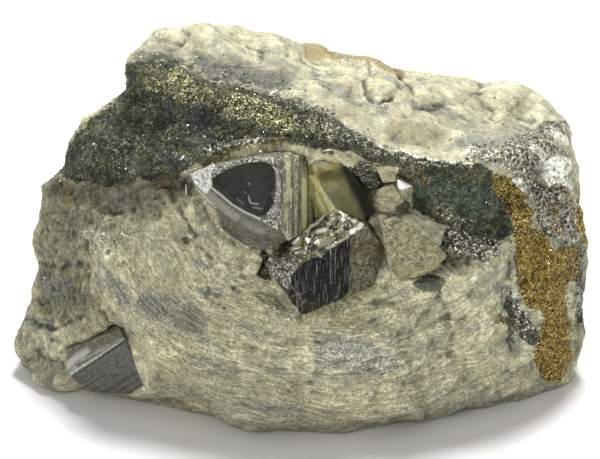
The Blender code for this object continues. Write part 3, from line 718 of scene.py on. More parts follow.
def rockFinish():
    finish = Finish("vein rock")
    noise, cells, attribute = finish.noise, finish.cells, finish.attribute
    mix, fade, brighten = finish.mix, finish.fade, finish.brighten
    broad = noise(0.16, 3)
    patchy = noise(0.42, 4, 0.6)
    mottled = noise(1.3, 5, 0.65)
    grainy = noise(3.6, 3, 0.7)
    grain = cells(3.9)
    clast = cells(2.2)
    speck = cells(6.4)
    foldPlace = attribute("foldPlace", "Vector")
    streak = noise(1.0, 5, 0.68, finish.stretched(foldPlace, (2.1, 0.62, 0.8)), 0.4)
    fibre = noise(1.0, 4, 0.75, finish.stretched(foldPlace, (4.6, 1.0, 1.6)))
    band = noise(0.38, 4, 0.6, finish.stretched(foldPlace, (1.0, 0.25, 0.4)), 0.4)
    hollow = attribute("hollow")
    bulge = attribute("bulge")

    def zone(mineral, ragged=0.7, low=0.42, high=0.58):
        # a mineral's share with a ragged rim
        worn = attribute(mineral) + (mottled + grainy * 0.5 - 0.75) * ragged
        return fade(worn, low, high)

    def layered(mineral, ragged=1.3, low=0.15, high=1.0):
        # a share that fades out along the folds
        worn = attribute(mineral) + (streak + patchy - 1.0) * ragged
        return fade(worn, low, high)

    def three(value, low, first, second, third):
        # three colours one after the other along a value, which starts at low and ends as far over the middle
        colour = mix(fade(value, low, 0.5), first, second)
        return mix(fade(value, 0.5, 1 - low), colour, third)

    # the pale rock, in layers on the bulge
    colour = three(patchy, 0.34, (0.25, 0.255, 0.19), (0.47, 0.45, 0.30), (0.70, 0.67, 0.47))
    colour = mix(fade(mottled, 0.56, 0.72) * 0.7, colour, (0.33, 0.315, 0.215))
    layers = three(streak, 0.34, (0.74, 0.69, 0.46), (0.56, 0.52, 0.335), (0.29, 0.285, 0.19))
    colour = mix(bulge * 0.5, colour, layers)
    colour = mix(fade(band, 0.5, 0.62) * bulge * 0.5, colour, (0.32, 0.325, 0.255))
    colour = mix(fade(broad, 0.5, 0.62) * 0.35, colour, (0.50, 0.43, 0.25))
    brown = layered("brown", 0.8)
    colour = mix(brown * 0.9, colour, three(mottled, 0.38, (0.30, 0.285, 0.18), (0.20, 0.195, 0.12),
                                            (0.11, 0.115, 0.074)))
    cream = zone("cream", 0.6, 0.3, 0.7)
    ivory = three(patchy, 0.36, (0.34, 0.345, 0.27), (0.53, 0.51, 0.335), (0.68, 0.67, 0.49))
    ivory = mix(fade(broad, 0.48, 0.6) * 0.5, ivory, (0.52, 0.45, 0.33))
    ivory = mix(fade(mottled, 0.54, 0.68) * 0.6, ivory, (0.30, 0.285, 0.195))
    colour = mix(cream * 0.95, colour, ivory)
    grey = layered("grey")
    slate = three(grainy * 0.6 + fibre * 0.4, 0.38, (0.09, 0.098, 0.085), (0.20, 0.21, 0.182),
                  (0.46, 0.47, 0.42))
    colour = mix(grey * 0.8, colour, slate)
    ochre = layered("ochre", 1.0)
    colour = mix(ochre * 0.7, colour, (0.28, 0.195, 0.065))
    # painted shade along the foot, tinted grey-green
    shadeAndGrime = zone("shadeAndGrime", 0.5, 0.3, 0.8)
    colour = mix(shadeAndGrime * 0.55, colour, (0.20, 0.205, 0.15))
    white = zone("white", 0.5, 0.35, 0.65)
    colour = mix(white * 0.92, colour, (0.88, 0.90, 0.80))

    # the sulphides
    dark = zone("dark", 0.5, 0.36, 0.6)
    night = three(patchy, 0.36, (0.032, 0.038, 0.018), (0.060, 0.066, 0.031), (0.118, 0.115, 0.050))
    night = mix(fade(mottled, 0.5, 0.66), night, (0.030, 0.034, 0.022))
    night = mix(zone("teal", 0.6, 0.2, 0.9) * 0.45, night, (0.060, 0.105, 0.080))
    night = mix(zone("plum", 0.6, 0.2, 0.9) * 0.7, night, (0.046, 0.044, 0.052))
    colour = mix(dark, colour, night)
    olive = zone("olive", 0.8, 0.3, 0.7)
    colour = mix(olive * 0.8, colour, mix(dark, (0.25, 0.235, 0.095), (0.085, 0.058, 0.006)))
    rust = zone("rust", 0.6, 0.36, 0.6)
    stain = three(mottled * 0.7 + clast * 0.3, 0.32, (0.46, 0.31, 0.030), (0.20, 0.13, 0.012),
                  (0.035, 0.022, 0.006))
    stain = mix(fade(patchy, 0.52, 0.62) * 0.6, stain, (0.11, 0.052, 0.018))
    stain = mix(fade(patchy * 0.5 + mottled * 0.5, 0.52, 0.60) * 0.75, stain, (0.045, 0.027, 0.012))
    rim = fade(attribute("rust") + grainy * 0.3, 1.0, 0.62)
    stain = mix(rim * 0.85, stain, (0.085, 0.030, 0.018))
    colour = mix(rust, colour, brighten(stain, 0.84))
    pepper = zone("pepper", 0.6, 0.3, 0.65)
    pepper = pepper * (1 - white * 0.9)
    pepperTone = clast * 0.35 + grain * 0.25 + mottled
    colour = mix(pepper * fade(pepperTone, 0.82, 0.76) * 0.92, colour, (0.04, 0.042, 0.034))
    colour = mix(pepper * fade(pepperTone, 0.87, 0.92) * 0.95, colour, (0.72, 0.72, 0.62))

    # grains lighter and darker than their neighbours, pale slivers on the bulge, painted highlights on ridges,
    # painted shade in hollows, darker and paler places, and painted shade beside the crystals
    soft = finish.node("Math", {"operation": "MAXIMUM"}, {0: bulge, 1: cream}) * (1 - pepper)
    sulphide = finish.node("Math", {"operation": "MAXIMUM"}, {0: dark, 1: rust})
    unevenness = grain * 0.46 + speck * 0.42 + fade(noise(2.1, 4, 0.75), 0.36, 0.64) * 0.4 - 0.64
    colour = brighten(colour, 1.0 + unevenness * (1.0 - cream * 0.45 + sulphide * 0.6 + rust * 1.0))
    colour = brighten(colour, 1.0 + (fade(fibre, 0.36, 0.64) - 0.5) * bulge * 0.6)
    # pale slivers along the folds: white carbonate, partly painted glints
    colour = mix(fade(fibre + (grainy - 0.5) * 0.5, 0.62, 0.70) * bulge * 0.45, colour, (0.92, 0.90, 0.74))
    # painted shade in hollows, then a painted highlight on ridges
    colour = brighten(colour, 1.0 - fade(hollow, 0.02, 0.6) * 0.6)
    colour = brighten(colour, 1.0 + fade(hollow, -0.02, -0.5) * 0.3)
    # painted shade in the darker places and painted light in the paler places
    colour = brighten(colour, 1.0 - attribute("shadeAndDarkTone") * 0.6 + attribute("lit") * 0.6)
    # painted shade on the rock beside the crystals
    colour = brighten(colour, 1.0 - attribute("socket") * 0.3)

    gold = zone("gold", 0.6, 0.3, 0.6)
    # glints: bright specks painted on the sulphides as painted highlights of their grains
    glint = fade(speck + (patchy + grainy - 1.0) * 0.9 + rust * 0.15, 0.95, 0.99) * sulphide
    pale = mix(gold, (0.42, 0.44, 0.36), (0.95, 0.93, 0.62))
    colour = mix(glint * 0.85, colour, mix(rust, pale, (0.95, 0.74, 0.24)))
    yellow = fade(grain * 0.4 + speck * 0.6 + (mottled - 0.5) * 0.8, 0.585, 0.645) * gold * (1 - rust * 0.5)
    colour = mix(yellow * 0.88, colour, mix(rust, (0.66, 0.645, 0.35), (0.45, 0.33, 0.06)))
    metal = finish.node("Math", {"operation": "MAXIMUM"}, {0: glint * 0.5, 1: yellow * 0.5})
    roughness = 0.86 - sulphide * 0.3 - metal * 0.28 - white * 0.15

    height = (grainy * 0.5 + grain * 0.35 + mottled * 0.5) * (1 - soft * 0.5)
    height = height + (streak * 0.9 + fibre * 0.3) * bulge
    bumped = finish.bump(height, 0.0003)
    return finish.close({"Base Color": colour, "Roughness": roughness, "Metallic": metal,
                         "Specular IOR Level": 0.4, "Normal": bumped})


print("rock")
rockPiece = newPiece("veinRock", rockMesh(), [rockFinish()], ["matrix_rock"])
shapeRock(rockPiece)
print("rock has", len(rockPiece.data.polygons), "faces")


crystalEdges = {
    "flatAngle": math.radians(3),   # faces that meet flatter than this are one face
    "bevel": 0.00007,
    "rounds": 12,   # how often the shown faces may be divided
}

# Corners of the crystals as the part has them, in mm before drawnShift. Zones are places of the front
# view's sheet on the crystal's faces, each with its finish, outline, rise in mm and relief; later ones lie
# on earlier ones. Strokes are as for the minerals: bright ones are painted highlights, shade ones dark lines
# and painted shade, warm ones a tint.
shieldCrystal = {
    "hulls": [[(-15.4, -14, 36.4), (-12.1, -14.8, 38.1), (-6.4, -15.9, 39.9), (-4.1, -16.6, 40),
        (0.3, -12.4, 38.8), (1.3, -11.4, 36.9), (1.3, -14.5, 29), (-12.4, -16.3, 36.5), (-9.4, -15.9, 38.4),
        (-4.3, -17, 39.2), (-3.6, -18.2, 37.8), (-5.9, -20.6, 33.2), (-13.4, -15.4, 34.4), (-11.2, -16.6, 28),
        (-8.2, -18.6, 27.5), (-4.9, -19.6, 27.8), (-1.7, -19.6, 29.3), (-2.7, -19.6, 31.4), (-2.7, -17.3, 37.1),
        (-13, -9, 36), (-10, -9, 28), (0, -7, 29), (0, -7, 38)]],
    "grain": 0.00017,
    "zones": [("striated grey", None, 0, "sweep"), ("streaked side", [(281, 150), (320, 150), (322, 252),
        (296, 252), (281, 230)], 0, "upright"), ("frosted rim", [(212, 152), (284, 152), (281, 232), (262, 222),
        (273, 204), (277, 185), (272, 165), (262, 161), (237, 164), (222, 171), (212, 178)], 0, "frost"),
        ("rock rim", [(180, 184), (196, 185.5), (204, 193.6), (211, 201), (216.4, 207), (220, 217.7),
        (222.7, 229.3), (237.9, 240), (256, 252), (250, 264), (180, 264)], 0.06, "rubble"),
        ("silver highlight tip", [(182, 172), (196.8, 160), (214.2, 158), (214.7, 167.5), (211.3, 174.2), (211.8, 183.4),
        (210.4, 189.2), (206, 194), (200.3, 189), (194.5, 184), (186, 178)], 0, "frost"),
        ("painted dark reflection", [(212.4, 178.4), (223.6, 172.1), (237, 165.9), (250.4, 162.3), (263.8, 161.9),
        (270, 163.7), (275.4, 170.4), (276.7, 180.2), (274.5, 187.3), (271.3, 191.8), (271.8, 197),
        (273.6, 201.6), (270.9, 207.9), (266.4, 213.2), (259.3, 216.8), (253, 215.4), (244, 211.4),
        (232.5, 203.4), (223.6, 197), (212.9, 186.4)], -0.08, "flat")],
    "strokes": {
        "bright": [(1.3, 0.6, (211.5, 187.3), (232.5, 204.8), (246, 212.8), (260, 219)),
            (6, 0.22, (207, 194), (220, 205), (236, 217)), (6, 0.1, (244, 222), (262, 232)),
            (0.9, 0.45, (248.6, 195.4), (249.9, 202.5), (258.4, 204.7)),
            (1, 0.45, (248.6, 183.8), (249.4, 184.2)), (1, 0.4, (245, 191.8), (245.6, 192.4)),
            (0.9, 0.2, (236, 198), (243, 204)), (0.9, 0.25, (253, 207), (262, 209)),
            (3, 0.35, (277, 170), (279, 190), (276, 206), (268, 219)), (1.2, 0.35, (285.5, 166), (287, 200)),
            (1.2, 0.3, (286.5, 210), (287.5, 240)), (1.2, 0.3, (294, 168), (295, 196)),
            (1.3, 0.4, (295, 206), (296, 244)), (1.2, 0.4, (310.5, 164), (311, 236)),
            (1.4, 0.35, (264, 158), (284, 160))],
        "shade": [(1.5, 0.55, (292, 168), (293, 246)), (1.3, 0.55, (298.5, 166), (299, 246)),
            (1.2, 0.5, (309.3, 168), (309.6, 236)), (1.2, 0.4, (282, 170), (283, 236)),
            (1.2, 0.4, (200, 170), (206, 184)), (1, 0.4, (192, 172), (204, 168)),
            (1, 0.45, (206, 162), (208, 176)), (0.9, 0.5, (196, 180), (208, 188)),
            (2, 0.4, (216, 209), (222, 226), (240, 238)), (7, 0.3, (258, 238), (288, 244))],
        "warm": [(4.2, 1, (304, 180), (304.5, 232)), (3, 0.5, (288, 165), (289, 200))]},
}
oliveCrystal = {
    "hulls": [[(2.2, -13.7, 36.8), (6.3, -13.2, 37.4), (9.8, -15.8, 31.8), (7.6, -16.6, 30.5), (4.1, -17, 30.1),
        (2.2, -14.5, 35.3), (0.6, -12.6, 38.4), (0.5, -12.4, 33.3), (0.8, -12, 28), (2, -7, 38), (6.5, -7, 37),
        (9, -8, 30), (2, -8, 28)]],
    "grain": 0.0002,
    "zones": [("olive top", None, 0, "flat"), ("lit olive strip", [(300, 176), (318, 174.5), (324.4, 189.7),
        (333.6, 206), (341, 213), (330, 226), (300, 226)], 0, "flat"), ("olive mirror", [(317, 175.5),
        (330, 170.5), (341, 168), (345, 163), (352, 166), (360, 176), (369, 192), (378, 212), (359, 224),
        (340.5, 213), (333.6, 206), (327, 197), (321.5, 187)], -0.03, "flat")],
    "strokes": {
        "bright": [(1.1, 0.85, (315.5, 193), (325.6, 213.8)), (1.1, 0.8, (325, 192.5), (334.3, 208)),
            (1, 0.6, (326, 183.5), (316.4, 193.6)), (6, 0.4, (317.5, 162), (324, 165)),
            (1, 0.35, (353, 168), (370, 193)), (1.2, 0.3, (345, 163), (352, 166.5)),
            (1.2, 0.3, (314, 170), (315, 186))],
        # the first shade stroke is a painted dark band of shade and reflection along the mirror's right edge
        "shade": [(12.5, 1, (348, 170), (358, 187), (366, 203), (371, 214)), (1.5, 0.3, (318, 174), (340, 169)),
            (1.6, 0.5, (344.2, 190.2), (345.6, 191)), (1.2, 0.5, (313.6, 184), (313.8, 226)),
            (1.3, 0.35, (314.5, 197), (321, 219)), (1.2, 0.3, (321, 195), (329, 211))],
        "warm": [(8, 1, (321, 175), (338, 176)), (6, 0.4, (336, 176), (342, 184))]},
}
ribbedCrystal = {
    "hulls": [[(-1.6, -18.6, 28.5), (4.4, -16.6, 32.5), (7.6, -20.6, 32.1), (6.2, -22, 30.7),
        (-0.1, -21.8, 27.9), (5.8, -23.2, 23.1), (-0.2, -23.1, 19.7), (-1.7, -22.5, 22.6), (-1.7, -22, 25.6),
        (-4.8, -19, 26.4), (-4.6, -19.8, 24.6), (10.9, -18.6, 27.3), (9.5, -20.2, 22.8), (-3, -12, 25),
        (0, -13, 20), (8, -12, 22), (9, -12, 29), (3, -11, 30)]],
    "grain": 0.00017,
    "zones": [("tan side", None, 0, "rubble"), ("stepped ledge", [(276, 256), (285, 235), (336, 200),
        (366, 224), (350, 240), (303, 257)], 0, "steps"), ("speckled side", [(260, 250), (303, 257), (292, 275),
        (292, 300), (262, 285)], 0, "frost"), ("ribbed black", [(291, 276), (303, 263), (313, 258), (321, 257),
        (337, 244.5), (349.5, 238.5), (348.5, 293), (330, 306), (303, 320), (288, 300)], 0, "ribs")],
    "strokes": {
        "bright": [(1.1, 0.55, (303, 233), (318, 222), (330, 213), (334.5, 209.5), (343, 215), (357, 224)),
            (3, 1, (351.5, 232.5), (357, 228.5), (361, 226)), (1.1, 0.5, (349, 236.5), (338, 242)),
            (2.8, 0.9, (293.5, 243), (298, 238.5)), (1.2, 0.5, (292, 250), (300, 248)),
            (3.6, 0.55, (318, 232), (325, 230)), (2.2, 0.5, (327.5, 248), (334, 245.5)),
            (0.8, 0.6, (309, 239), (314, 235)), (0.8, 0.6, (311.5, 242), (317.5, 237)),
            (0.8, 0.6, (315, 244.5), (321, 239.5)), (0.9, 0.5, (328, 224), (334, 219)),
            (0.9, 0.5, (338, 218), (347, 226.5)), (0.9, 0.5, (341, 227), (348, 222.5)),
            (0.9, 0.4, (332, 233), (343, 229)), (1, 0.6, (316.5, 253), (321.5, 257.5)),
            (0.8, 0.22, (292, 286), (303, 302)), (0.8, 0.22, (296, 280), (300, 298)),
            (0.8, 0.18, (290, 297), (306, 292)), (0.8, 0.2, (300, 306), (306, 300))],
        "shade": [(2.6, 0.75, (302, 244), (306, 235), (315, 228.5), (327, 220)),
            (2, 0.65, (325, 225), (331, 238)), (1.4, 0.65, (337, 213), (348, 220.5), (353, 226)),
            (3.6, 0.6, (314, 247), (324, 251)), (2.6, 0.7, (296, 250), (302, 245)),
            (1.8, 0.5, (333, 238), (345, 233)), (1.8, 0.5, (306, 248), (312, 243)),
            (2.5, 0.3, (350.5, 243), (350, 292)), (4, 0.3, (352, 296), (376, 286)),
            (4, 0.35, (342, 246), (345, 290)), (2.4, 0.8, (273, 278), (283, 287), (292, 294)),
            (4, 0.4, (304, 268), (309, 296))],
        "warm": [(10, 0.5, (366, 248), (378, 252), (380, 268)), (4, 0.6, (296, 247), (303, 241)),
            (4, 0.3, (294, 262), (301, 266)), (7, 0.4, (296, 296), (308, 306), (318, 304)),
            (2.4, 0.5, (306, 230), (312, 227))]},
}
cornerCrystal = {
    "hulls": [[(-33.1, -12.8, 5.4), (-24.7, -15.1, 12.1), (-22.3, -15.6, 5.1), (-24.5, -14.9, 3.2),
        (-30.2, -13.5, 3), (-33.4, -10, 7.8), (-25.6, -13.3, 12.6), (-32.9, -4.6, 7.1), (-30.9, -5.4, 4.4),
        (-24, -8.4, 4.6), (-26, -6.8, 11.8)]],
    "grain": 0.0002,
    "zones": [("pale corner", None, 0, "slant"), ("highlit corner", [(60, 376), (62, 362), (81.6, 352),
        (126, 336), (126, 341), (72, 377)], 0, "slant"), ("dark corner", [(60, 378), (72, 376.5), (126, 339),
        (150, 385), (134, 399), (80, 399)], 0, "slant")],
    "strokes": {
        "bright": [(5, 0.6, (66, 367), (74, 359), (86, 351)), (1.5, 0.4, (70, 374), (98, 356), (123, 339)),
            (1.6, 0.3, (80, 362), (108, 346))],
        "shade": [(1.6, 0.5, (72, 377), (98, 359), (124, 341)), (1.2, 0.5, (76, 366), (104, 351))],
        "warm": [(4, 0.5, (84, 353), (92, 349))]},
}
cleavageRhomb = {
    "hulls": [[(10.4, -17.9, 30.9), (11.5, -17.4, 31.5), (15.1, -17.2, 30.8), (16.3, -17.9, 29.4),
        (18.2, -18.6, 27.8), (19.3, -19.2, 26.6), (18, -20.2, 25.5), (14.9, -21.4, 24.5), (12.6, -21.6, 24.7),
        (11.5, -21.1, 25.8), (11.6, -19.5, 28.5), (12.1, -13.3, 29.9), (17, -13.9, 26), (13.2, -14.3, 24.4)],
        [(11.4, -17.2, 31.5), (14.8, -16.3, 31.5), (19.2, -16.1, 29.8), (19.3, -16.6, 29.5),
        (18.4, -18.3, 27.9), (16.3, -17.9, 29.3), (15.2, -17.1, 30.8), (13.4, -12.7, 30), (17.8, -12.8, 28.2),
        (15.7, -13, 27.4)]],
    "grain": 0.00026,
    "zones": [("tan cleavage", None, 0, "rubble"), ("olive wing", None, 0, "rubble")],
    "strokes": {
        "bright": [(1.5, 0.2, (388, 218), (414, 222), (424, 233), (439, 245)),
            (1.5, 0.3, (397, 227), (404, 230))],
        "shade": [(1.6, 1, (421.2, 260.4), (421.8, 261)), (1.2, 0.7, (392, 246), (392.6, 246.6)),
            (1, 0.5, (408, 240), (408.5, 240.6))],
        "warm": [(6, 0.7, (446, 257), (437, 267), (414, 277)), (6, 0.4, (400, 268), (414, 272))]},
}
brightCrystal = {
    "hulls": [[(12.7, -15.2, 36.2), (14.8, -14.8, 35), (13.4, -16.6, 35.3), (12.7, -16.4, 35.4),
        (12.6, -12, 36.6), (14.6, -12, 35.2), (13, -12, 34.2)]],
    "grain": 0.0004,
    "zones": [("speckled side", None, 0, "flat"), ("highlight facet", [(397, 179), (402.5, 180.6), (414, 186.6),
        (414, 188.6), (402.5, 192), (397, 192)], 0, "flat")],
}

# Facets of the rock that catch the light, by (across, down, mm in front of the rock), each with its finish
rockFacets = [
    ("dark block", [(353, 165.5, 0.3), (362, 162, 0.5), (371, 164.5, 0.6), (380, 182.5, 0.5), (371, 196, 0.4),
        (365, 186, 0.5)]),
    ("lit tan", [(375, 166, 0.3), (398, 167, 0.2), (395, 182, 0.7), (382, 182, 0.6)]),
    ("lit tan", [(377, 190, 0.4), (393, 184, 0.6), (399, 195, 0.7), (410, 208, 0.2), (387, 212.5, 0.8),
        (371, 209, 0.3)]),
    ("lit tan", [(363, 225.3, 0.4), (378.4, 214, 0.7), (387, 216, 0.6), (383, 232, 0.5)]),
    ("green lens", [(394, 196, 0.4), (409, 202, 0.3), (409, 213, 0.4), (396, 212, 0.5)]),
    ("green lens", [(411, 284, 0.1), (420, 279, 0.3), (434, 277, 0.35), (447, 281, 0.1), (440, 290, 0.3),
        (424, 291, 0.3)]),
    ("pale wing", [(496, 247, 0.3), (508, 240, 0.5), (511, 248, 0.4), (503, 256, 0.3)]),
    ("highlight facet", [(268, 95.5, 0.1), (271, 92, 0.4), (277, 89.4, 0.2), (278, 91, 0.3), (270, 96.5, 0.2)]),
    ("highlight facet", [(179.5, 160.5, 0.1), (181.5, 157, 0.4), (185, 154.5, 0.1), (183.5, 158.5, 0.3)]),
    ("highlight facet", [(185.4, 184, 0.1), (186.8, 184.5, 0.3), (187, 195, 0.1), (185.8, 194.5, 0.3)]),
    ("highlight facet", [(321.5, 151.8, 0.1), (324, 149.4, 0.4), (329, 148.6, 0.4), (334, 150.4, 0.1),
        (328, 150.4, 0.4)]),
    ("pale wing", [(474, 282, 0.2), (480, 277, 0.5), (486, 281, 0.4), (482, 287, 0.5), (476, 288, 0.2)]),
    ("pale wing", [(488, 262, 0.2), (498, 255, 0.5), (502, 262, 0.4), (494, 270, 0.3)]),
    ("tan cleavage", [(320, 306, 0.2), (338, 298, 0.5), (350, 304, 0.4), (342, 314, 0.5), (326, 316, 0.3)])]


def growthLines(across, along, size, octaves, seed, height, fade=0.7):
    lines = np.stack([across, along, along * 0], axis=1)
    return roughNoise(lines, size, octaves, seed, fade) * height


def relief(kind, spots, inMm):
    # height in mm of the growth lines on a crystal's face
    rough = roughNoise(inMm, 0.45, 2, 70)
    across, down = spots.T
    if kind == "upright":
        return growthLines(across + down * 0.03, down * 0.03, 6.0, 4, 71, 0.16) + rough * 0.02
    if kind == "ribs":
        return growthLines(across - down * 0.02, down * 0.035, 4.2, 4, 72, 0.15, 0.75) + rough * 0.02
    if kind == "sweep":
        return growthLines(down + 0.42 * across - 0.004 * (across - 240) ** 2, across * 0.05, 4.0, 3, 73, 0.035)
    if kind == "slant":
        return growthLines(down + across * 0.64, across * 0.03, 5.0, 4, 74, 0.10) + rough * 0.015
    if kind == "steps":
        return brokenFacets(inMm, 1.1, 75, 2.0, 5) * 0.12 + brokenFacets(inMm, 0.5, 79) * 0.03
    if kind == "frost":
        return brokenFacets(inMm, 0.42, 76) * 0.07 + rough * 0.03
    if kind == "rubble":
        return brokenFacets(inMm, 1.6, 77) * 0.10 + rough * 0.05
    return roughNoise(inMm, 2.5, 2, 78) * 0.004


def addHull(bm, corners, index):
    # the solid that the corners span
    older = set(bm.faces)
    verts = [bm.verts.new(corner) for corner in corners]
    made = bmesh.ops.convex_hull(bm, input=verts)
    bmesh.ops.delete(bm, geom=made["geom_interior"], context="VERTS")
    for face in bm.faces:
        if face not in older:
            face.material_index = index


def growCrystal(name, settings, nodes):
    bm = bmesh.new()
    for index, corners in enumerate(settings["hulls"]):
        if nodes:
            corners = [Vector(corner) / 1000 + drawnShift for corner in corners]
        addHull(bm, corners, min(index, len(settings["zones"]) - 1))
    bmesh.ops.dissolve_limit(bm, angle_limit=crystalEdges["flatAngle"], verts=bm.verts, edges=bm.edges,
                             delimit={"MATERIAL"})
    bmesh.ops.recalc_face_normals(bm, faces=bm.faces)
    bmesh.ops.bevel(bm, geom=bm.edges, offset=crystalEdges["bevel"], offset_type="OFFSET", segments=1,
                    profile=0.5, affect="EDGES", material=-1)
    # each zone's outline is cut into the faces, so that its rim is crisp
    for _, outline, _, _ in settings["zones"]:
        for start, end in zip(outline or [], (outline or [])[1:] + (outline or [])[:1]):
            across = sheetRay(start).cross(sheetRay(end)).normalized()
            bmesh.ops.bisect_plane(bm, geom=allParts(bm), plane_co=eye, plane_no=across)
    bmesh.ops.triangulate(bm, faces=bm.faces)
    grain = settings["grain"] * 1
    for _ in range(crystalEdges["rounds"]):
        bm.normal_update()
        shown = {edge for face in bm.faces if face.normal.dot(toEye) > 0 for edge in face.edges}
        long = [edge for edge in bm.edges if edge in shown and edge.calc_length() > grain * 1.6]
        if not long:
            break
        bmesh.ops.subdivide_edges(bm, edges=long, cuts=1)
        bmesh.ops.triangulate(bm, faces=bm.faces)
    bmesh.ops.dissolve_degenerate(bm, dist=1e-7, edges=bm.edges)
    bmesh.ops.triangulate(bm, faces=bm.faces)

    bm.verts.ensure_lookup_table()
    bm.verts.index_update()
    bm.normal_update()
    middles = np.array([face.calc_center_median() for face in bm.faces])
    spots = toSheet(middles)
    zoneOf = np.array([face.material_index for face in bm.faces])
    facing = np.array([face.normal.dot(toEye) > 0 for face in bm.faces])
    for index, (_, outline, _, _) in enumerate(settings["zones"]):
        if outline:
            zoneOf[facing & (outlineDepth(spots, outline) > 0)] = index
    for face, index in zip(bm.faces, zoneOf):
        face.material_index = int(index)
        face.smooth = True
    points = np.array([vert.co for vert in bm.verts])
    outward = np.array([vert.normal for vert in bm.verts])
    pointSpots = toSheet(points)
    inMm = points * 1000
    rise = np.zeros(len(points))
    shown = outward @ np.array(toEye) > 0.02
    for index, (_, _, sink, kind) in enumerate(settings["zones"]):
        inside = np.array([all(face.material_index == index for face in vert.link_faces)
                           for vert in bm.verts]) & shown
        rise[inside] = (relief(kind, pointSpots, inMm) + sink)[inside]
    points += outward * rise[:, None] / 1000
    for vert, point in zip(bm.verts, points):
        vert.co = point
    piece = newPiece(name, bm, [crystalFinishes[zone[0]] for zone in settings["zones"]], nodes)
    for mark in ("bright", "shade", "warm"):
        share = strokeShare(pointSpots, settings.get("strokes", {}).get(mark, [])) * shown
        storeNumbers(piece.data, mark, share)
    print(name, "has", len(piece.data.polygons), "faces")


def mirrorFinish(name, settings):
    # a smooth crystal face: a drifting tint (tarnish on most faces, painted dark reflection on the shield's
    # black face), fine scratches and a few specks
    finish = Finish(name)
    noise, mix, fade = finish.noise, finish.mix, finish.fade
    drift = noise(settings["driftScale"], 2)
    colour = mix(fade(drift, 0.4, 0.6), settings["dark"], settings["light"])
    specks = fade(noise(5.5, 2, 0.8), settings.get("speckFrom", 0.70), 0.76)
    colour = mix(specks * 0.5, colour, settings["speck"])
    roughness = settings["roughness"] + noise(2.2, 3) * 0.12 + specks * 0.3
    bumped = finish.bump(noise(3.0, 3, 0.7) * 0.6 + specks * 0.4, settings["bump"])
    return finish.closeCrystal(settings, colour, roughness, bumped)


def grownFinish(name, settings):
    # a crystal face with growth lines: stretched noise along them, grains, bright specks
    finish = Finish(name)
    noise, mix, fade = finish.noise, finish.mix, finish.fade
    lines = noise(1.0, 4, 0.75, finish.stretched(finish.millimetres(), settings["stretch"]))
    if "facets" in settings:
        lines = lines * 0.3 + finish.cells(settings["facets"]) * 0.7
    grain = finish.cells(settings["grainScale"])
    mottled = noise(1.1, 4)
    low, high = settings.get("lineRange", (0.36, 0.64))
    colour = mix(fade(lines, low, high), settings["dark"], settings["light"])
    colour = mix(fade(mottled, 0.5, 0.66) * settings["tintShare"], colour, settings["tint"])
    contrast = settings.get("grainShare", 0.76)
    colour = finish.brighten(colour, 1 - contrast / 2 + grain * contrast)
    sparks = fade(grain, settings["sparkFrom"], settings["sparkFrom"] + 0.02)
    colour = mix(sparks * 0.85, colour, settings["spark"])
    roughness = settings["roughness"] - sparks * 0.15 + grain * 0.12
    bumped = finish.bump(lines * 0.7 + grain * settings["grainBump"], settings["bump"])
    return finish.closeCrystal(settings, colour, roughness, bumped)


# Finishes of the crystals' faces: their settings in the order of the names here, and what else differs
mirrorNames = ("driftScale", "dark", "light", "speck", "roughness", "bump", "metallic")
mirrorFinishes = {
    # the shield's smooth face is painted near black, a painted reflection of the dark surroundings
    "painted dark reflection": (0.3, (0.016, 0.016, 0.014), (0.034, 0.034, 0.03), (0.17, 0.17, 0.14), 0.25, 2e-05, 0.0,
        {"speckFrom": 0.6, "shine": 0.12}),
    "olive mirror": (0.25, (0.19, 0.185, 0.08), (0.3, 0.3, 0.15), (0.36, 0.35, 0.2), 0.2, 2e-05, 0.05,
        {"speckFrom": 0.64, "warm": (0.1, 0.078, 0.013), "bright": (0.5, 0.48, 0.3), "shine": 0.25}),
    "olive top": (0.6, (0.19, 0.17, 0.05), (0.38, 0.345, 0.13), (0.5, 0.47, 0.3), 0.35, 5e-05, 0.3),
    # the olive crystal's left face, olive in colour and painted paler as painted light
    "lit olive strip": (0.5, (0.5, 0.44, 0.17), (0.72, 0.68, 0.32), (0.8, 0.77, 0.5), 0.35, 5e-05, 0.1),
    "pale wing": (0.6, (0.3, 0.3, 0.19), (0.46, 0.46, 0.31), (0.6, 0.6, 0.45), 0.4, 5e-05, 0.0),
    # small facets painted near white, a painted highlight of the light on them
    "highlight facet": (0.5, (0.85, 0.84, 0.82), (0.92, 0.91, 0.88), (0.7, 0.7, 0.66), 0.15, 1e-05, 0.0),
}
grownNames = ("stretch", "grainScale", "dark", "light", "tint", "tintShare", "spark", "sparkFrom", "roughness",
              "grainBump", "bump", "metallic")
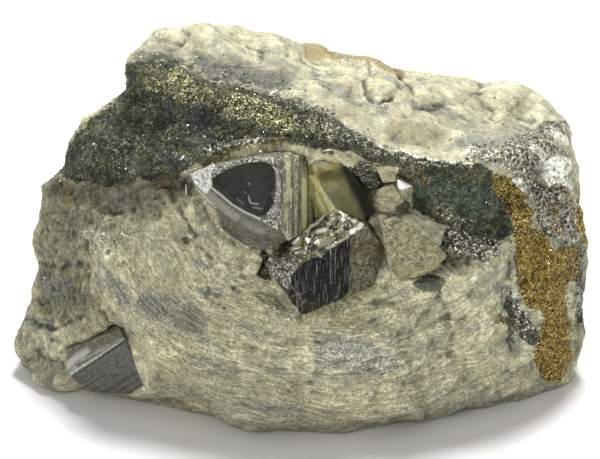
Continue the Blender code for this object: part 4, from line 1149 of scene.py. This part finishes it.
grownFinishes = {
    "green lens": ((1.5, 2.5, 2.5), 4, (0.07, 0.075, 0.05), (0.19, 0.195, 0.14), (0.12, 0.125, 0.09), 0.4,
        (0.4, 0.4, 0.34), 0.97, 0.6, 0.5, 0.0001, 0.0),
    "dark block": ((2.0, 2.0, 2.4), 5, (0.022, 0.024, 0.014), (0.13, 0.14, 0.085), (0.05, 0.055, 0.03), 0.5,
        (0.6, 0.61, 0.5), 0.86, 0.4, 0.5, 0.0001, 0.2),
    # tan blocks in the pocket, painted paler as painted light where the lamps leave them in shade
    "lit tan": ((1.2, 1.2, 1.6), 4.2, (0.48, 0.43, 0.27), (0.9, 0.84, 0.58), (0.55, 0.45, 0.27), 0.5,
        (0.85, 0.83, 0.68), 0.95, 0.5, 0.4, 0.0001, 0.0, {"grainShare": 0.5}),
    "olive wing": ((1.0, 1.0, 1.4), 4.5, (0.17, 0.165, 0.095), (0.36, 0.355, 0.23), (0.24, 0.24, 0.13), 0.5,
        (0.5, 0.5, 0.38), 0.98, 0.45, 0.2, 6e-05, 0.0, {"grainShare": 0.3}),
    "rock rim": ((1.6, 1.6, 1.6), 3.4, (0.26, 0.25, 0.17), (0.52, 0.5, 0.35), (0.34, 0.31, 0.18), 0.5,
        (0.7, 0.69, 0.55), 0.95, 0.8, 0.6, 0.00015, 0.0),
    "striated grey": ((0.5, 2.5, 5.5), 6, (0.06, 0.061, 0.045), (0.18, 0.18, 0.135), (0.11, 0.11, 0.08), 0.4,
        (0.4, 0.4, 0.34), 0.98, 0.38, 0.15, 6e-05, 0.75, {"grainShare": 0.35}),
    "streaked side": ((7.0, 1.5, 0.35), 6, (0.085, 0.083, 0.048), (0.62, 0.62, 0.42), (0.34, 0.36, 0.18), 0.6,
        (0.75, 0.75, 0.64), 0.84, 0.42, 0.4, 8e-05, 0.5, {"warm": (0.92, 0.94, 0.5)}),
    "frosted rim": ((2, 2, 2), 5, (0.12, 0.12, 0.09), (0.3, 0.3, 0.24), (0.22, 0.22, 0.15), 0.4,
        (0.78, 0.78, 0.7), 0.72, 0.38, 0.8, 0.0001, 0.7),
    # silver-white crystal tip, painted near white as a painted highlight
    "silver highlight tip": ((2.5, 2.5, 2.5), 5, (0.36, 0.365, 0.31), (0.97, 0.98, 0.92), (0.5, 0.52, 0.42), 0.5,
        (0.95, 0.95, 0.9), 0.75, 0.35, 0.6, 0.0001, 0.35),
    "tan side": ((1.7, 1.7, 1.7), 4.6, (0.05, 0.042, 0.02), (0.24, 0.22, 0.13), (0.1, 0.08, 0.035), 0.5,
        (0.3, 0.28, 0.19), 0.9, 0.6, 0.5, 0.0001, 0.1,
        {"grainShare": 1.0, "lineRange": (0.4, 0.6), "warm": (0.1, 0.065, 0.02)}),
    "stepped ledge": ((1.5, 1.5, 2.4), 5, (0.045, 0.04, 0.026), (0.4, 0.38, 0.26), (0.26, 0.22, 0.09), 0.5,
        (0.8, 0.78, 0.62), 0.92, 0.3, 0.25, 6e-05, 0.55,
        {"facets": 1.3, "lineRange": (0.4, 0.9), "bright": (0.86, 0.85, 0.72)}),
    "speckled side": ((1.5, 1.5, 1.5), 4.5, (0.05, 0.048, 0.036), (0.24, 0.235, 0.18), (0.13, 0.12, 0.08), 0.5,
        (0.7, 0.69, 0.6), 0.78, 0.35, 0.8, 0.0001, 0.6),
    "ribbed black": ((9.0, 1.2, 0.22), 7, (0.006, 0.006, 0.006), (0.62, 0.62, 0.54), (0.03, 0.03, 0.026), 0.3,
        (0.4, 0.4, 0.36), 0.985, 0.35, 0.1, 8e-05, 0.15,
        {"lineRange": (0.55, 0.72), "grainShare": 1.0, "shine": 0.2, "warm": (0.075, 0.055, 0.025)}),
    "pale corner": ((2.0, 1.0, 3.0), 5, (0.12, 0.118, 0.085), (0.25, 0.245, 0.18), (0.2, 0.195, 0.14), 0.4,
        (0.4, 0.4, 0.36), 0.95, 0.5, 0.3, 6e-05, 0.2),
    # the corner crystal's ridge band, painted paler as a painted highlight
    "highlit corner": ((2.0, 1.0, 3.0), 5, (0.16, 0.16, 0.13), (0.34, 0.34, 0.29), (0.26, 0.26, 0.2), 0.4,
        (0.6, 0.6, 0.56), 0.93, 0.4, 0.2, 5e-05, 0.4),
    "dark corner": ((2.6, 1.2, 4.2), 6, (0.065, 0.064, 0.055), (0.15, 0.15, 0.135), (0.13, 0.125, 0.1), 0.4,
        (0.3, 0.3, 0.28), 0.99, 0.33, 0.15, 5e-05, 0.6, {"grainShare": 0.35}),
    "tan cleavage": ((1.4, 1.4, 1.8), 5, (0.16, 0.15, 0.08), (0.42, 0.4, 0.25), (0.25, 0.21, 0.095), 0.5,
        (0.5, 0.48, 0.36), 0.95, 0.5, 0.35, 8e-05, 0.0,
        {"warm": (0.42, 0.38, 0.18), "grainShare": 0.65, "lineRange": (0.4, 0.6)}),
}
crystalFinishes = {}
for makeFinish, names, table in ((mirrorFinish, mirrorNames, mirrorFinishes),
                                 (grownFinish, grownNames, grownFinishes)):
    for name, row in table.items():
        others = row[len(names)] if len(row) > len(names) else {}
        crystalFinishes[name] = makeFinish(name, {**dict(zip(names, row)), **others})


def liftFacets():
    # the rock's facets: hulls that lie on the finished rock
    bm = bmesh.new()
    bm.from_mesh(rockPiece.data)
    tree = surfaceTree(bm)
    hulls = []
    for _, corners in rockFacets:
        middle = np.mean([corner[:2] for corner in corners], axis=0)
        hull = []
        for across, down, lift in corners:
            hull.append(tree.ray_cast(eye, sheetRay((across, down)))[0] + toEye * (lift / 1000))
            inner = middle + (np.array((across, down)) - middle) * 0.7
            hull.append(tree.ray_cast(eye, sheetRay(inner))[0] - toEye * 0.0012)
        hulls.append(hull)
    return {"hulls": hulls, "grain": 0.0003,
            "zones": [(finish, None, 0, "flat" if finish in ("highlight facet", "pale wing") else "rubble")
                      for finish, _ in rockFacets]}


print("crystals")
growCrystal("shieldCrystal", shieldCrystal, ["arsenopyrite_crystals"])
growCrystal("oliveCrystal", oliveCrystal, ["arsenopyrite_crystals"])
growCrystal("ribbedCrystal", ribbedCrystal, ["arsenopyrite_crystals"])
growCrystal("cornerCrystal", cornerCrystal, ["corner_crystal"])
growCrystal("cleavageRhomb", cleavageRhomb, ["cleavage_rhomb"])
growCrystal("brightCrystal", brightCrystal, ["bright_crystal"])
growCrystal("rockFacets", liftFacets(), [])


# Loose-grown grains on the rock: the minerals that they sit on, how many, how large in mm and how they are
# stretched, and their looks
grainKinds = {
    "sulphideGrains": {
        "on": {"dark": 0.55, "rust": 0.2, "pepper": 0.6}, "count": 4200, "size": (0.10, 0.30),
        "stretch": (1.0, 0.8, 0.6), "seed": 1, "dark": (0.04, 0.045, 0.035), "middle": (0.10, 0.11, 0.08),
        "bright": (0.60, 0.61, 0.52), "metallic": 0.85, "roughness": 0.42, "brightFrom": 0.92,
        "warmShare": 0.7},
    "pyriteGrains": {
        "on": {"gold": 1.0, "rust": 0.35, "olive": 0.3, "dark": 0.05}, "count": 4200, "size": (0.09, 0.25),
        "stretch": (1.0, 0.9, 0.7), "seed": 2, "dark": (0.12, 0.11, 0.04), "middle": (0.34, 0.32, 0.13),
        "bright": (0.88, 0.86, 0.60), "metallic": 0.9, "roughness": 0.38, "brightFrom": 0.8, "warmShare": 0.6},
    "carbonateGrains": {
        "on": {"pepper": 1.0, "white": 0.5, "cream": 0.06, "bulge": 0.06, "grey": 0.15}, "count": 6000,
        "size": (0.12, 0.36), "stretch": (1.0, 0.8, 0.5), "seed": 3, "dark": (0.24, 0.23, 0.16),
        "middle": (0.50, 0.48, 0.36), "bright": (0.82, 0.82, 0.74), "metallic": 0.0, "roughness": 0.4,
        "brightFrom": 0.85, "warmShare": 0.3},
}


def sowGrains(name, settings, material):
    mesh = rockPiece.data
    faceCount = len(mesh.polygons)
    corners = readAll(mesh.polygons, "vertices", 3, int)
    middles = readAll(mesh.polygons, "center", 3)
    ups = readAll(mesh.polygons, "normal", 3)
    areas = readAll(mesh.polygons, "area")
    weight = np.zeros(len(mesh.vertices))
    for mineral, share in settings["on"].items():
        weight += readNumbers(mesh, mineral) * share
    chance = np.clip(weight[corners].mean(axis=1), 0, 1) ** 1.5 * areas
    chance *= middles[:, 2] > cadBox[0][2] + 0.0006
    count = settings["count"] // 1
    rng = np.random.default_rng(settings["seed"])
    chosen = rng.choice(faceCount, count, p=chance / chance.sum())

    bm = bmesh.new()
    bmesh.ops.create_cube(bm, size=1)
    bmesh.ops.bisect_plane(bm, geom=allParts(bm), clear_outer=True, plane_co=(0.22, 0.22, 0.22),
                           plane_no=(1, 1, 1))
    bmesh.ops.holes_fill(bm, edges=bm.edges)
    bmesh.ops.triangulate(bm, faces=bm.faces)
    bm.verts.index_update()
    shape = np.array([vert.co for vert in bm.verts])
    sides = np.array([[vert.index for vert in face.verts] for face in bm.faces])
    bm.free()

    low, high = settings["size"]
    sizes = (low + (high - low) * rng.random(count) ** 2.2) / 1000
    turns = rng.normal(size=(count, 4))
    turns /= np.linalg.norm(turns, axis=1)[:, None]
    w, x, y, z = turns.T
    spin = np.stack([1 - 2 * (y * y + z * z), 2 * (x * y - z * w), 2 * (x * z + y * w),
                     2 * (x * y + z * w), 1 - 2 * (x * x + z * z), 2 * (y * z - x * w),
                     2 * (x * z - y * w), 2 * (y * z + x * w), 1 - 2 * (x * x + y * y)], axis=1)
    spin = spin.reshape(-1, 3, 3)
    scaled = shape[None] * np.array(settings["stretch"]) * sizes[:, None, None]
    turned = np.einsum("nij,nkj->nki", spin, scaled)
    seats = middles[chosen] + ups[chosen] * (sizes * 0.12)[:, None]
    points = (turned + seats[:, None]).reshape(-1, 3)
    faces = (sides[None] + (np.arange(count) * len(shape))[:, None, None]).reshape(-1, 3)
    mesh = bpy.data.meshes.new(name)
    mesh.from_pydata(points.tolist(), [], faces.tolist())
    storeNumbers(mesh, "tone", np.repeat(rng.random(count), len(shape)))
    storeNumbers(mesh, "warm", np.repeat(readNumbers(rockPiece.data, "rust")[corners[chosen, 0]], len(shape)))
    bm = bmesh.new()
    bm.from_mesh(mesh)
    bpy.data.meshes.remove(mesh)
    piece = newPiece(name, bm, [material], [])
    print(name, "has", len(piece.data.polygons), "faces")


def grainFinish(name, settings):
    finish = Finish(name)
    tone = finish.attribute("tone")
    colour = finish.mix(finish.fade(tone, 0.0, 0.55), settings["dark"], settings["middle"])
    colour = finish.mix(finish.fade(tone, settings["brightFrom"], settings["brightFrom"] + 0.04), colour,
                        settings["bright"])
    colour = finish.mix(finish.attribute("warm") * settings["warmShare"], colour, (0.42, 0.22, 0.035))
    colour = finish.brighten(colour, 0.8 + finish.noise(4, 2) * 0.4)
    return finish.close({"Base Color": colour, "Metallic": settings["metallic"],
                         "Roughness": settings["roughness"] - tone * 0.15})


print("grains")
for name, settings in grainKinds.items():
    sowGrains(name, settings, grainFinish(name.replace("Grains", " grains"), settings))


stage = {
    "floorSize": 6,
    "floorColour": (0.93, 0.93, 0.93),
    "lens": 36 * 3182 / 600,   # mm, for a 36 mm sensor
    "key": {"at": (0.05, 0.26, 0.76), "size": 0.26, "power": 7.5},
    "fill": {"at": (-0.24, -0.74, 0.46), "size": 0.5, "power": 2.3},
    "sky": {"From Min": -0.8, "From Max": 0.1, "To Min": 0.20, "To Max": 0.38},   # darker towards the front
}


def areaLight(name, settings):
    light = bpy.data.lights.new(name, "AREA")
    light.shape = "DISK"
    light.size = settings["size"]
    light.energy = settings["power"]
    lamp = newObject(name, light)
    lamp.location = settings["at"]
    lamp.rotation_mode = "QUATERNION"
    lamp.rotation_quaternion = (target - lamp.location).to_track_quat("-Z", "Y")


def addStage():
    bm = bmesh.new()
    bmesh.ops.create_grid(bm, x_segments=1, y_segments=1, size=stage["floorSize"] / 2)
    floor = newObject("floor", newMesh("floor", bm))
    floor.data.materials.append(Finish("pale floor").close({
        "Base Color": (*stage["floorColour"], 1), "Roughness": 0.9, "Specular IOR Level": 0.1}))
    areaLight("key", stage["key"])
    areaLight("fill", stage["fill"])

    world = bpy.data.worlds.new("studio")
    world.use_nodes = True
    nodes = world.node_tree.nodes
    links = world.node_tree.links
    sky = nodes["Background"]
    spot = nodes.new("ShaderNodeTexCoord")
    split = nodes.new("ShaderNodeSeparateXYZ")
    spread = nodes.new("ShaderNodeMapRange")
    spread.interpolation_type = "SMOOTHSTEP"
    links.new(spot.outputs["Generated"], split.inputs[0])
    links.new(split.outputs["Y"], spread.inputs["Value"])
    for name, value in stage["sky"].items():
        spread.inputs[name].default_value = value
    links.new(spread.outputs["Result"], sky.inputs["Strength"])
    sky.inputs["Color"].default_value = (1, 1, 1, 1)
    bpy.context.scene.world = world

    camera = newObject("camera", bpy.data.cameras.new("camera"))
    camera.data.lens = stage["lens"]
    camera.data.sensor_width = 36
    camera.data.sensor_fit = "HORIZONTAL"
    camera.data.clip_start = 0.01
    camera.data.clip_end = 20
    camera.location = eye
    camera.rotation_mode = "QUATERNION"
    camera.rotation_quaternion = (-toEye).to_track_quat("-Z", "Y")
    bpy.context.scene.camera = camera
    bpy.context.scene.view_settings.view_transform = "Standard"
    bpy.context.scene.view_settings.look = "None"


print("stage")
addStage()
